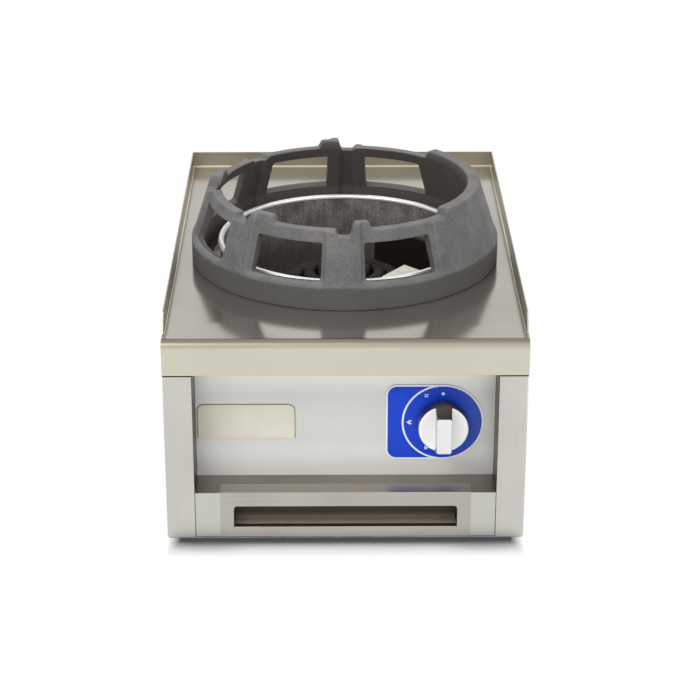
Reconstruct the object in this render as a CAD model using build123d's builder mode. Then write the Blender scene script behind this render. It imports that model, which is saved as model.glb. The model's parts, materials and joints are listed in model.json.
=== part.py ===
"""Single-burner countertop gas wok range.

A folded sheet-metal casing carries a pressed work top with a polished burner well, a
loose cast-iron wok ring, a stepped cast burner, the gas train with its push-and-turn
valve, and a drip drawer on two rails.

Frame: millimetres, origin on the counter under the middle of the casing, +X to the
right, the cook stands at -Y, +Z up.
"""
from build123d import *
from math import cos, radians, sin
import os

os.makedirs("parts", exist_ok=True)

# ---------------------------------------------------------------- driving dimensions
WIDTH = 400.0               # overall, across the work top
DEPTH = 600.0               # overall, front lip to rear skirt
FOOT_H = 5.0                # foot pad under the floor pan
CASE_H = 240.0              # floor pan underside to the work surface
UPSTAND_H = 20.0            # splash guard above the work surface

TOP_SHEET = 1.5             # work top
SHEET = 1.2                 # casing, drawer
LIGHT_SHEET = 0.8           # trim plates
BEND_R = 1.2                # outside radius of folded edges
SEAM = 0.3                  # assembly clearance between neighbouring sheets
FIT = 0.05                  # radial running clearance of turned fits
OVERCUT = 1.0               # a cut runs past the face it opens by this much

LIP_H = 40.0                # front lip of the work top
NOSE_R = 8.5                # bullnose radius on the front lip
SKIRT_H = 40.0              # side and rear skirts of the work top
UPSTAND_START = 22.0        # side splash guards begin this far behind the lip
UPSTAND_SLANT = 16.0        # length of their slanted front end
POST_W = 30.2               # folded front face of each side panel
PANEL_SETBACK = 47.0        # control panel behind the lip
REAR_SETBACK = 50.0         # rear panel in front of the rear skirt
REAR_FLANGE = 15.0          # folded rear edge of each side panel
RETURN_TAIL = 14.0          # side-panel return past the control panel
LEDGE_TOP = 56.0            # ledge over the drawer, above the floor pan underside

WELL_Y = -31.5              # burner axis, measured from the casing centre
WELL_IN_RING = 38.5         # inside of the burner well to the foot of the wok ring
RIM_H = 24.0                # polished rim above the work surface
RIM_W = 6.0                 # width of the rolled rim
COLLAR_FLANGE = 10.0        # foot flange of the collar
WELL_DEPTH = 80.0           # wall of the well below the work surface
WELL_DROP = 12.0            # sloped floor of the well
WELL_FLOOR_W = 36.0         # sloped floor between the wall and the air opening

RING_TO_SIDE = 17.5         # foot of the cast ring to the side of the work top
RING_BAND_H = 28.5          # upright band at its foot
RING_SHOULDER = 3.5         # step in over the band
RING_SHOULDER_H = 4.0
RING_LEAN = 17.4            # the posts lean in by this much from the shoulder to the rim
RING_CREST = 17.1           # width of the rim
RING_WALL = 14.5            # wall at the foot
RING_H = 86.0               # rim above the work surface
LUG_H = 9.0                 # lugs and raised wall above the rim
LUG_ROUND = 2.5             # rounded top edges of the casting
LUG_ROOT = 1.0              # a lug reaches this far down into the rim
NOTCH_DEPTH = 5.5           # notches below the rim
SILL_H = 34.0               # window sill above the work surface
HEAD_H = 72.5               # window head above the work surface
POCKET_DEPTH = 5.5          # window bays stand back behind the posts
WINDOW_ARC = 28.4           # opening of each window, degrees
POCKET_ARC = 30.8           # width of each window bay, degrees
FIRST_POST = 269.0          # front post; angles run anticlockwise seen from above, from the right
POST_PITCH = 45.0           # post to post, degrees
POSTS = 5
FLUTE_W = 15.0              # upright flute inside each post
FLUTE_DEPTH = 5.0

HEAD_TOP = 5.0              # burner crown below the work surface
HEAD_STEP = 6.0             # each burner ring is this much lower than the next one in
CROWN_R = 31.0              # burner crown
MID_R = 48.0                # middle burner ring
OUTER_R = 67.0              # outer burner ring
RING_GAP = 5.0              # air gap between the burner rings
HEAD_BAND = 22.0            # height of a burner ring
CROWN_PORTS = 16
MID_PORTS = 24
OUTER_PORTS = 36
PORT_W = 2.6                # width of a flame port
PORT_DEPTH = 10.0           # how far down a port is cut
PORT_REACH = 5.0            # how far in a port is cut
HEAD_WALL = 3.0             # walls of a burner ring
HEAD_LID = 4.0              # top of a burner ring
HEAD_BEVEL = 3.5            # sloped outer edge of a burner ring
HEAD_BEVEL_H = 3.0
GAS_WAY_R = 3.5             # holes in the deck under the rings
MID_WAYS = 4
OUTER_WAYS = 6
DECK_EDGE = 2.0             # deck wider than the outer ring
BODY_WALL = 5.0             # burner casting
SOCKET_DEPTH = 10.0         # seat of the mixing tube
CRADLE_T = 2.5              # bar that carries the burner
CRADLE_W = 44.0
CRADLE_TAB = 18.0
BOWL_DROP = 42.0            # burner bowl below the rings' seat
HUB_R = 27.0                # mixing chamber under the bowl

THROAT_R = 13.0             # mixing tube bore
MOUTH_R = 22.0              # bell mouth of the mixing tube
TUBE_WALL = 4.0
JET_STANDOFF = 39.3         # gas ways of the valve to the bell mouth
BELL_RIM = 12.0             # parallel part of the bell mouth
BELL_LEN = 33.0             # taper from the bell mouth to the throat
MOUTH_T = 3.0               # end wall of the bell mouth
SHUTTER_T = 2.0             # air shutter disc
SHUTTER_TAB = 14.0          # finger tab of the shutter
TAB_ROUND = 3.0
AIR_HOLE_R = 4.5
AIR_HOLES = 4
SHOULDER_R = 8.0            # the shutter turns on this part of the injector

KNOB_INSET = 58.4           # dial centre from the right end of the control panel
KNOB_DROP = 118.0           # dial centre below the work surface
KNOB_R = 28.0               # skirt
SKIRT_GAP = 6.0             # knob to panel, room to push
SKIRT_FACE = 20.0           # disc face in front of the panel
GRIP_FACE = 40.0            # front of the grip bar in front of the panel
GRIP_W = 17.0
GRIP_L = 43.0
GRIP_DRAFT = 1.5            # the bar widens by this much towards the disc
GRIP_FOOT = 7.5             # and lengthens by this much
GRIP_ROUND = 3.0
KNOB_ROUND = 2.0
KNOB_WALL = 3.0
KNOB_BOSS_WALL = 4.0        # round the stem
STEM_PASS = 3.0             # free room round the stem in panel and dial
PUSH = 4.0                  # knob travel
DIAL_R = 46.0               # round part of the dial plate
DIAL_TAIL = 64.0            # square part, to the left of the dial centre
DIAL_CORNER = 7.0
BADGE_W = 110.0             # bare plate on the left of the panel
BADGE_H = 41.5
BADGE_INSET = 56.7          # its middle from the left end of the control panel
BADGE_DROP = 116.0
BADGE_CORNER = 8.0

VALVE_R = 16.0              # gas valve barrel
VALVE_LEN = 44.0
PLUG_R = 9.0                # taper plug at its wide end
PLUG_TIP_R = 6.5
PLUG_LEN = 34.0
STEM_R = 4.0
TANG_T = 2.8                # flat tang of the stem
TANG_L = 7.0
TANG_PLAY = 0.1
PORT_R = 3.0                # gas way through the plug
PORT_BOSS_R = 9.0           # side bosses of the valve
PORT_BOSS_L = 10.0
BONNET_T = 14.0             # spring housing between the valve and the panel
BONNET_WALL = 2.0
BONNET_W = 46.0
BONNET_H = 34.0
BONNET_ROUND = 6.0
STEM_COLLAR_T = 1.5         # the spring bears on this collar
STEM_IN_KNOB = 10.0
SPRING_R = 6.2              # mean radius of the stem spring
SPRING_WIRE = 0.9
SPRING_TURNS = 4
PIPE_R = 7.0                # gas pipe
PIPE_WALL = 1.5
PIPE_BEND = 17.0
PIPE_TO_WALL = 32.0         # run of the gas pipe from the right side panel
INLET_R = 10.475            # half-inch taper thread, outside
INLET_LEN = 22.0            # threaded length
INLET_HEX = 27.0            # spanner flats of the inlet fitting
INLET_FLANGE = 8.0          # length of its spanner flange
INLET_TAIL = 12.0           # inside the rear panel
INLET_WALL = 4.0
LOCKNUT_T = 7.0
UNION_FLATS = 20.0          # union nuts on the pipe ends
UNION_L = 12.0
INJECTOR_FLATS = 19.0
INJECTOR_L = 20.0
JET_R = 1.2
JET_L = 6.0
JET_TIP_R = 4.0

SHIELD_ANGLE = -54.0        # pilot, seen from above, from the right side
SHIELD_Z = 8.0              # roof of the pilot above the work surface
SHIELD_REACH = 50.0         # point of the roof from its flat edge
SHIELD_POINT = 21.0         # the point stands this far to the right of the pilot
SHIELD_NEAR = 24.0          # near end of the roof, left of the pilot
SHIELD_FAR = 28.0           # far end of the flat edge, right of the pilot
SHIELD_SLOPE = 15.0         # the near corner lies this much closer to the wall than the point
SHIELD_DROP = 18.0          # turned-down edge at the well wall
SHIELD_GAP = 3.5            # that flat edge to the round wall
PILOT_TO_WALL = 46.0        # pilot and thermocouple from the wall of the well
PILOT_SPREAD = 7.0          # each to one side of the middle
PILOT_DROP = 40.0           # their foot under the roof
PILOT_R = 4.5
PILOT_L = 24.0
PILOT_BORE = 2.0
PROBE_R = 3.2               # thermocouple body and tip
PROBE_TIP_R = 1.8
PROBE_L = 18.0
PROBE_TIP_L = 8.0
HANGER_T = 1.5              # strip that carries both
HANGER_W = 30.0
HANGER_BACK = 12.0          # behind the pilot
HANGER_LAP = 18.0           # lap under the roof
HANGER_FRONT = 10.0         # in front of the pilot
CAPILLARY_R = 2.0           # pilot pipe and thermocouple lead
CAPILLARY_BEND = 14.0
CAPILLARY_TURN = 45.0       # they turn to the valve this far behind it

DRAWER_H = 40.0             # walls of the drip pan
DRAWER_L = 470.0            # length of the drip pan
PAN_TO_POST = 13.0          # side wall of the drip pan to the post of the casing
PAN_LIP = 11.0              # out-turned edge that slides on the rails
PAN_RISE = 6.0              # drip pan above the floor pan
FINGER_DEPTH = 28.0         # finger room behind the drawer front
HANDLE_INSET = 27.7         # handle plate from each end of the drawer front
HANDLE_TOP = 20.0           # handle plate flange over the ledge
SLOT_INSET = 15.0           # finger slot from each end of the handle plate
SLOT_H = 26.5
SLOT_BASE = 13.7            # slot above the drawer bottom edge
SLOT_R = 4.0
SLOT_LIP = 9.0              # folded lower edge of the finger slot
RAIL_UP = 22.0              # upright flange of a rail
RAIL_GAP = 2.0              # rail edge beside the drip pan
PAN_CORNER = 8.0            # upright corners of the drip pan
TUCK = 20.0                 # returns of the drawer front against the drip pan
HANDLE_RISE = 3.6           # handle plate above the floor pan underside
LEDGE_UP = 10.0             # flange of the ledge behind the control panel
REAR_VENT_DROP = 70.0       # louvre field under the work top
VENT_W = 60.0
VENT_H = 6.0
VENT_PITCH_X = 80.0
VENT_PITCH = 18.0
VENT_COLUMNS = 3
FLOOR_VENT_ROWS = 7
REAR_VENT_ROWS = 5

FOOT_R = 17.0
FOOT_INSET_X = 24.0
FOOT_INSET_Y = 45.0
STUD_R = 4.0
STUD_UP = 3.0               # stud above the floor pan
FOOT_CHAMFER = 1.0
SCREW_R = 2.0
SCREW_HEAD_R = 4.0
SCREW_HEAD_H = 2.2
SCREW_EDGE = 20.0           # end screws from the edges of the rear panel

# ---------------------------------------------------------------- derived places
half = WIDTH / 2
front = -DEPTH / 2
back = DEPTH / 2
pan_z = FOOT_H                                  # underside of the floor pan
top_z = FOOT_H + CASE_H                         # work surface
wall_x = half - TOP_SHEET - SEAM                # outer face of the side panels
wall_in = wall_x - SHEET
post_y = front + TOP_SHEET + SEAM               # front face of the posts
post_in = wall_x - POST_W                       # faces the drawer
panel_y = front + PANEL_SETBACK                 # front face of the control panel
panel_back = panel_y + SHEET
panel_half = post_in - SEAM
knob_x = panel_half - KNOB_INSET
badge_x = BADGE_INSET - panel_half
pipe_x = wall_in - PIPE_TO_WALL                 # axis of the gas pipe and the inlet
pan_half = post_in - PAN_TO_POST                # half width of the drip pan
handle_half = panel_half - HANDLE_INSET
slot_half = handle_half - SLOT_INSET
rear_y = back - REAR_SETBACK                    # outer face of the rear flanges
floor_z = pan_z + SHEET                         # upper face of the floor pan
under_top = top_z - TOP_SHEET
ledge_z = pan_z + LEDGE_TOP
knob_z = top_z - KNOB_DROP
drawer_y = post_y                               # face of the drawer front
tray_y = drawer_y + FINGER_DEPTH                # front wall of the drip pan
tray_z = floor_z + PAN_RISE
rail_z = tray_z + DRAWER_H - SHEET - SEAM       # upper face of the rails
well_axis = Axis((0, WELL_Y, 0), (0, 0, 1))
foot_r = half - RING_TO_SIDE                    # wok ring, outer radius at the work surface
shoulder_r = foot_r - RING_SHOULDER
crest_r = shoulder_r - RING_LEAN                # outer radius of its posts at the rim
mouth_r = crest_r - RING_CREST
well_r = foot_r - WELL_IN_RING                  # inside of the burner well
air_r = well_r - WELL_FLOOR_W                   # air opening in the floor of the well
crown_z = top_z - HEAD_TOP
mid_z = crown_z - HEAD_STEP
outer_z = mid_z - HEAD_STEP
seat_z = outer_z - HEAD_BAND                    # the rings stand on the burner bowl
hub_z = seat_z - BOWL_DROP                      # bowl meets the mixing chamber
mix_z = knob_z                                  # mixing tube in line with the valve
hub_base = mix_z - THROAT_R - TUBE_WALL - BODY_WALL
tube_y = WELL_Y - HUB_R                         # mixing tube meets the hub
valve_front = panel_back
valve_back = valve_front + BONNET_T + VALVE_LEN
port_y = valve_back - VALVE_LEN / 2             # gas ways in and out of the valve
bell_y = port_y + JET_STANDOFF                  # open end of the mixing tube


def radial_plane(angle, base=0.0, y=WELL_Y):
    """Upright plane through the burner axis, x outwards, y up."""
    out = (cos(radians(angle)), sin(radians(angle)), 0)
    return Plane(origin=(0, y, base), x_dir=out, z_dir=(out[1], -out[0], 0))


def facing_front(x, y, z):
    """Upright plane that looks at the cook, x to the right, y up."""
    return Plane(origin=(x, y, z), x_dir=(1, 0, 0), z_dir=(0, -1, 0))


def facing_right(x, y=0.0, z=0.0):
    """Upright plane across the range, x to the rear, y up, normal to the right."""
    return Plane(origin=(x, y, z), x_dir=(0, 1, 0), z_dir=(1, 0, 0))


def finish(builder, name):
    """Label a finished piece and write its file."""
    builder.part.label = name
    export_step(builder.part, f"parts/{name}.step")


# ---------------------------------------------------------------- work top
with BuildPart() as top_plate:
    with BuildSketch(facing_right(-half)):
        with BuildLine():
            Polyline((front, top_z - LIP_H), (front, top_z), (back, top_z), (back, top_z - SKIRT_H),
                     (front, top_z - LIP_H))
        make_face()
    extrude(amount=WIDTH)
    nose = top_plate.edges().filter_by(Axis.X).group_by(Axis.Y)[0].sort_by(Axis.Z)[-1]
    fillet(nose, NOSE_R)
    # hollow it from below, so that lip, top and skirts are one skin
    with BuildSketch(facing_right(-half + TOP_SHEET)) as inside:
        with BuildLine():
            Polyline((front + TOP_SHEET, top_z - LIP_H), (front + TOP_SHEET, under_top),
                     (back - TOP_SHEET, under_top), (back - TOP_SHEET, top_z - SKIRT_H),
                     (front + TOP_SHEET, top_z - LIP_H))
        make_face()
        inner_nose = inside.vertices().group_by(Axis.X)[0].sort_by(Axis.Y)[-1]
        fillet(inner_nose, NOSE_R - TOP_SHEET)
    extrude(amount=WIDTH - 2 * TOP_SHEET, mode=Mode.SUBTRACT)
    # side splash guards with slanted front ends
    for side in (-half, half - TOP_SHEET):
        with BuildSketch(facing_right(side)):
            with BuildLine():
                Polyline((front + UPSTAND_START, under_top),
                         (front + UPSTAND_START, top_z),
                         (front + UPSTAND_START + UPSTAND_SLANT, top_z + UPSTAND_H),
                         (back, top_z + UPSTAND_H), (back, under_top),
                         (front + UPSTAND_START, under_top))
            make_face()
        extrude(amount=TOP_SHEET)
    with BuildSketch(Plane.XY.offset(under_top)):
        with Locations((0, back - TOP_SHEET / 2)):
            Rectangle(WIDTH, TOP_SHEET)
    extrude(amount=TOP_SHEET + UPSTAND_H)
    # opening for the burner well
    with BuildSketch(Plane.XY.offset(top_z)):
        with Locations((0, WELL_Y)):
            Circle(well_r + SHEET + SEAM)
    extrude(amount=-2 * TOP_SHEET, mode=Mode.SUBTRACT)
finish(top_plate, "top_plate")

# ---------------------------------------------------------------- burner well
rim_z = top_z + RIM_H
collar_r = well_r + SHEET + 2 * SEAM            # inside of the collar
with BuildPart() as well_collar:
    with BuildSketch(radial_plane(0)):
        with BuildLine():
            Polyline((collar_r, top_z), (collar_r + COLLAR_FLANGE, top_z),
                     (collar_r + COLLAR_FLANGE, top_z + TOP_SHEET),
                     (collar_r + TOP_SHEET, top_z + TOP_SHEET),
                     (collar_r + TOP_SHEET, rim_z - RIM_W / 2), (collar_r, rim_z - RIM_W / 2),
                     (collar_r, top_z))
        make_face()
    revolve(axis=well_axis)
finish(well_collar, "well_collar")

with BuildPart() as well_bowl:
    # rolled rim over the collar, straight wall, sloped floor with the air opening
    with BuildSketch(radial_plane(0)):
        with BuildLine():
            wall = Line((well_r, top_z - WELL_DEPTH), (well_r, rim_z - RIM_W / 2))
            roll = ThreePointArc(wall @ 1, (well_r + RIM_W / 2, rim_z),
                                 (well_r + RIM_W, rim_z - RIM_W / 2))
            Polyline(roll @ 1, (well_r + SHEET, rim_z - RIM_W / 2),
                     (well_r + SHEET, top_z - WELL_DEPTH - SHEET),
                     (air_r, top_z - WELL_DEPTH - WELL_DROP - SHEET),
                     (air_r, top_z - WELL_DEPTH - WELL_DROP), wall @ 0)
        make_face()
    revolve(axis=well_axis)
finish(well_bowl, "well_bowl")

# ---------------------------------------------------------------- cast wok ring
shoulder_h = RING_BAND_H + RING_SHOULDER_H
ring_slope = RING_LEAN / (RING_H - shoulder_h)
foot_in = foot_r - RING_WALL
lug_top = RING_H + LUG_H
notch_floor = RING_H - NOTCH_DEPTH
cut_in = mouth_r - OVERCUT                 # cuts through the wall run between these radii
cut_out = foot_r + OVERCUT


def ring_outer(height):
    """Outer radius of a post at a height over the shoulder."""
    return shoulder_r - (height - shoulder_h) * ring_slope


def bay_outer(height):
    """Outer radius of a window bay at a height over the shoulder."""
    return ring_outer(height) - POCKET_DEPTH


def sector(points, start, arc, mode=Mode.ADD, rounding=0.0):
    """Turn an outline of (radius, height) points about the burner axis, from an angle."""
    with BuildSketch(radial_plane(start, top_z)) as section:
        with BuildLine():
            Polyline(*points, close=True)
        make_face()
        if rounding:
            fillet(section.vertices().group_by(Axis.Y)[-1], rounding)
    revolve(section.sketch, axis=well_axis, revolution_arc=arc, mode=mode)


def lug_points(outer):
    """Outline of a lug whose outer face carries on that of a post or of a bay."""
    root = RING_H - LUG_ROOT
    return [(mouth_r, root), (outer(root), root), (outer(lug_top), lug_top), (mouth_r, lug_top)]


post_angles = [FIRST_POST - POST_PITCH * step for step in range(POSTS)]
window_centres = [FIRST_POST + POST_PITCH / 2 - POST_PITCH * step for step in range(POSTS + 1)]
raised_wall = (-44.0, 90.0)                                         # start, arc
lugs = [(272.8, 7.6), (227.5, 10.5), (165.4, 10.6), (92.0, 9.2)]
notches = [(266.4, 6.4), (217.3, 8.5), (176.0, 8.6), (129.8, 8.5), (85.4, 6.4)]

with BuildPart() as wok_ring:
    sector([(foot_in, 0), (foot_r, 0), (foot_r, RING_BAND_H), (shoulder_r, shoulder_h),
            (crest_r, RING_H), (mouth_r, RING_H), (foot_in, RING_BAND_H)], 0, 360)
    # bays between the posts stand back over a sloped foot, and each holds a window
    for centre in window_centres:
        sector([(bay_outer(SILL_H), SILL_H), (foot_r, RING_BAND_H), (cut_out, RING_BAND_H),
                (cut_out, RING_H + OVERCUT), (bay_outer(RING_H + OVERCUT), RING_H + OVERCUT)],
               centre - POCKET_ARC / 2, POCKET_ARC, Mode.SUBTRACT)
        sector([(cut_in, SILL_H), (cut_out, SILL_H), (cut_out, HEAD_H), (cut_in, HEAD_H)],
               centre - WINDOW_ARC / 2, WINDOW_ARC, Mode.SUBTRACT)
    # upright flutes inside the posts
    for angle in post_angles:
        with BuildSketch(radial_plane(angle, top_z)):
            with BuildLine():
                Polyline((cut_in, -OVERCUT), (foot_in + FLUTE_DEPTH, -OVERCUT),
                         (foot_in + FLUTE_DEPTH, RING_BAND_H),
                         (mouth_r + FLUTE_DEPTH, RING_H + OVERCUT),
                         (cut_in, RING_H + OVERCUT), close=True)
            make_face()
        extrude(amount=FLUTE_W / 2, both=True, mode=Mode.SUBTRACT)
    # lugs on the rim and the raised wall on the right
    for start, arc in lugs:
        sector(lug_points(bay_outer), start, arc, rounding=LUG_ROUND)
    sector(lug_points(ring_outer), *raised_wall, rounding=LUG_ROUND)
    for start, arc in notches:
        sector([(cut_in, notch_floor), (cut_out, notch_floor), (cut_out, lug_top + OVERCUT),
                (cut_in, lug_top + OVERCUT)], start, arc, Mode.SUBTRACT)
finish(wok_ring, "wok_ring")

# ---------------------------------------------------------------- burner
deck_r = OUTER_R + DECK_EDGE
socket_r = THROAT_R + TUBE_WALL + BODY_WALL

with BuildPart() as burner_body:
    # bowl and mixing chamber, cast in one
    with BuildSketch(radial_plane(0)):
        with BuildLine():
            Polyline((0, hub_base), (HUB_R, hub_base), (HUB_R, hub_z), (deck_r, seat_z - BODY_WALL),
                     (deck_r, seat_z), (0, seat_z), close=True)
        make_face()
    revolve(axis=well_axis)
    # socket for the mixing tube
    with BuildSketch(facing_front(0, WELL_Y, mix_z)):
        Circle(socket_r)
    extrude(amount=HUB_R + SOCKET_DEPTH)
    with BuildSketch(radial_plane(0)):
        with BuildLine():
            Polyline((0, hub_base + BODY_WALL), (HUB_R - BODY_WALL, hub_base + BODY_WALL),
                     (HUB_R - BODY_WALL, hub_z), (deck_r - 2 * BODY_WALL, seat_z - BODY_WALL),
                     (0, seat_z - BODY_WALL), close=True)
        make_face()
    revolve(axis=well_axis, mode=Mode.SUBTRACT)
    with BuildSketch(facing_front(0, WELL_Y, mix_z)):
        Circle(THROAT_R)
    extrude(amount=HUB_R + SOCKET_DEPTH + OVERCUT, mode=Mode.SUBTRACT)
    with BuildSketch(facing_front(0, WELL_Y - HUB_R, mix_z)):
        Circle(socket_r - BODY_WALL + SEAM)
    extrude(amount=SOCKET_DEPTH + OVERCUT, mode=Mode.SUBTRACT)
    # gas ways in the deck under each ring
    with BuildSketch(Plane.XY.offset(seat_z)):
        with Locations((0, WELL_Y)):
            Circle(CROWN_R / 2)
            with PolarLocations((CROWN_R + RING_GAP + MID_R) / 2, MID_WAYS):
                Circle(GAS_WAY_R)
            with PolarLocations((MID_R + RING_GAP + OUTER_R) / 2, OUTER_WAYS):
                Circle(GAS_WAY_R)
    extrude(amount=-BODY_WALL - OVERCUT, mode=Mode.SUBTRACT)
finish(burner_body, "burner_body")


def burner_ring(name, inner, outer, top, ports):
    """Hollow burner ring with flame ports cut down from its outer edge."""
    with BuildPart() as ring:
        with BuildSketch(radial_plane(0)):
            with BuildLine():
                Polyline((inner, seat_z), (outer, seat_z), (outer, top - HEAD_BEVEL_H),
                         (outer - HEAD_BEVEL, top), (inner, top), close=True)
            make_face()
        revolve(axis=well_axis)
        with BuildSketch(radial_plane(0)):
            with BuildLine():
                low = inner + HEAD_WALL if inner else 0
                lid = top - HEAD_LID
                Polyline((low, seat_z), (outer - HEAD_WALL, seat_z),
                         (outer - HEAD_WALL, lid), (low, lid), close=True)
            make_face()
        revolve(axis=well_axis, mode=Mode.SUBTRACT)
        with BuildSketch(Plane.XY.offset(top)):
            with Locations((0, WELL_Y)):
                with PolarLocations(outer, ports):
                    Rectangle(2 * PORT_REACH, PORT_W)
        extrude(amount=-PORT_DEPTH, mode=Mode.SUBTRACT)
    finish(ring, name)


burner_ring("burner_crown", 0, CROWN_R, crown_z, CROWN_PORTS)
burner_ring("burner_ring_middle", CROWN_R + RING_GAP, MID_R, mid_z, MID_PORTS)
burner_ring("burner_ring_outer", MID_R + RING_GAP, OUTER_R, outer_z, OUTER_PORTS)

with BuildPart() as burner_cradle:
    # bar across the casing under the burner, turned down at both ends
    with BuildSketch(facing_front(0, WELL_Y + CRADLE_W / 2, 0)):
        with BuildLine():
            tab_in = wall_in - CRADLE_T
            tab_end = hub_base - CRADLE_TAB
            Polyline((-wall_in, hub_base), (wall_in, hub_base), (wall_in, tab_end),
                     (tab_in, tab_end), (tab_in, hub_base - CRADLE_T),
                     (-tab_in, hub_base - CRADLE_T), (-tab_in, tab_end), (-wall_in, tab_end),
                     close=True)
        make_face()
    extrude(amount=CRADLE_W)
finish(burner_cradle, "burner_cradle")

# ---------------------------------------------------------------- mixing tube and air shutter
air_ring_r = (SHOULDER_R + MOUTH_R) / 2
bell_end = bell_y + BELL_RIM + BELL_LEN
tube_out = THROAT_R + TUBE_WALL
bell_out = MOUTH_R + TUBE_WALL
with BuildPart() as mixing_tube:
    # venturi: parallel throat that opens to a bell mouth towards the injector
    with BuildSketch(facing_right(0, 0, mix_z)):
        with BuildLine():
            Polyline((tube_y, 0), (tube_y, tube_out), (bell_end, tube_out), (bell_y + BELL_RIM, bell_out),
                     (bell_y, bell_out), (bell_y, 0), close=True)
        make_face()
    tube_axis = Axis((0, 0, mix_z), (0, 1, 0))
    revolve(axis=tube_axis)
    with BuildSketch(facing_right(0, 0, mix_z)):
        with BuildLine():
            Polyline((tube_y, 0), (tube_y, THROAT_R), (bell_end, THROAT_R), (bell_y + BELL_RIM, MOUTH_R),
                     (bell_y + MOUTH_T, MOUTH_R), (bell_y + MOUTH_T, 0), close=True)
        make_face()
    revolve(axis=tube_axis, mode=Mode.SUBTRACT)
    with BuildSketch(facing_front(0, bell_y, mix_z)):
        Circle(SHOULDER_R + SEAM)
        with PolarLocations(air_ring_r, AIR_HOLES):
            Circle(AIR_HOLE_R)
    extrude(amount=-MOUTH_T - OVERCUT, mode=Mode.SUBTRACT)
finish(mixing_tube, "mixing_tube")

with BuildPart() as air_shutter:
    # disc that turns on the injector and covers the air holes, with a finger tab
    with BuildSketch(facing_front(0, bell_y - SEAM, mix_z)):
        Circle(bell_out)
        with Locations((0, -bell_out - TAB_ROUND)):
            RectangleRounded(SHUTTER_TAB, SHUTTER_TAB, TAB_ROUND)
        Circle(SHOULDER_R + FIT, mode=Mode.SUBTRACT)
        with PolarLocations(air_ring_r, AIR_HOLES):
            Circle(AIR_HOLE_R, mode=Mode.SUBTRACT)
    extrude(amount=SHUTTER_T)
finish(air_shutter, "air_shutter")

# ---------------------------------------------------------------- gas valve
plug_y = valve_front + BONNET_T + SEAM                  # front of the taper plug
boss_x = VALVE_R + PORT_BOSS_L                           # faces of the side bosses from the valve axis
bore_r = SPRING_R + SPRING_WIRE + SEAM
plug_cone = (PLUG_R - PLUG_TIP_R) / PLUG_LEN
plug_end = plug_y + PLUG_LEN

valve_axis = Axis((knob_x, 0, knob_z), (0, 1, 0))
with BuildPart() as valve_body:
    with BuildSketch(facing_front(knob_x, valve_back, knob_z)):
        Circle(VALVE_R)
    extrude(amount=VALVE_LEN)
    with BuildSketch(facing_right(knob_x - boss_x, port_y, knob_z)):
        Circle(PORT_BOSS_R)
    extrude(amount=2 * boss_x)
    with BuildSketch(facing_right(knob_x - boss_x, port_y, knob_z)):
        Circle(PORT_R)
    extrude(amount=2 * boss_x, mode=Mode.SUBTRACT)
    with BuildSketch(facing_right(knob_x, 0, knob_z)):
        with BuildLine():
            Polyline((plug_y - OVERCUT, 0), (plug_y - OVERCUT, PLUG_R + FIT + OVERCUT * plug_cone),
                     (plug_end, PLUG_TIP_R + FIT), (plug_end + OVERCUT, PLUG_TIP_R + FIT),
                     (plug_end + OVERCUT, 0), close=True)
        make_face()
    revolve(axis=valve_axis, mode=Mode.SUBTRACT)
finish(valve_body, "valve_body")

with BuildPart() as valve_bonnet:
    with BuildSketch(facing_front(knob_x, valve_front + BONNET_T, knob_z)):
        RectangleRounded(BONNET_W, BONNET_H, BONNET_ROUND)
    extrude(amount=BONNET_T)
    with BuildSketch(facing_front(knob_x, valve_front + BONNET_T, knob_z)):
        Circle(bore_r)
    extrude(amount=BONNET_T - BONNET_WALL, mode=Mode.SUBTRACT)
    with BuildSketch(facing_front(knob_x, valve_front + BONNET_T, knob_z)):
        Circle(STEM_R + FIT)
        with Locations((-BONNET_W / 2 + BONNET_ROUND, 0), (BONNET_W / 2 - BONNET_ROUND, 0)):
            Circle(SCREW_R + SEAM)
    extrude(amount=BONNET_T, mode=Mode.SUBTRACT)
finish(valve_bonnet, "valve_bonnet")

with BuildPart() as valve_plug:
    with BuildSketch(facing_right(knob_x, 0, knob_z)):
        with BuildLine():
            Polyline((plug_y, 0), (plug_y, PLUG_R), (plug_end, PLUG_TIP_R), (plug_end, 0), close=True)
        make_face()
    revolve(axis=valve_axis)
    # cross slot for the stem and the gas way
    with BuildSketch(facing_front(knob_x, plug_y, knob_z)):
        Rectangle(TANG_T + 2 * TANG_PLAY, 2 * PLUG_R + OVERCUT)
    extrude(amount=-TANG_L - PUSH - SEAM, mode=Mode.SUBTRACT)
    with BuildSketch(facing_right(knob_x - PLUG_R, port_y, knob_z)):
        Circle(PORT_R)
    extrude(amount=2 * PLUG_R, mode=Mode.SUBTRACT)
finish(valve_plug, "valve_plug")

collar_y = valve_front + BONNET_WALL + SEAM             # front of the stem's collar
stem_y = panel_y - SKIRT_FACE - STEM_IN_KNOB            # front end of the stem, inside the knob
stem_end = plug_y - SEAM - PUSH                         # round part stops short of the plug
with BuildPart() as valve_stem:
    with BuildSketch(facing_front(knob_x, stem_end, knob_z)):
        Circle(STEM_R)
    extrude(amount=stem_end - stem_y)
    with BuildSketch(facing_front(knob_x, collar_y + STEM_COLLAR_T, knob_z)):
        Circle(SPRING_R + SPRING_WIRE / 2)
    extrude(amount=STEM_COLLAR_T)
    # flat tang that slides in the plug's slot
    with BuildSketch(facing_front(knob_x, plug_y + TANG_L, knob_z)):
        Circle(STEM_R)
        Rectangle(TANG_T, 2 * STEM_R, mode=Mode.INTERSECT)
    extrude(amount=plug_y + TANG_L - stem_end)
finish(valve_stem, "valve_stem")

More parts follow.
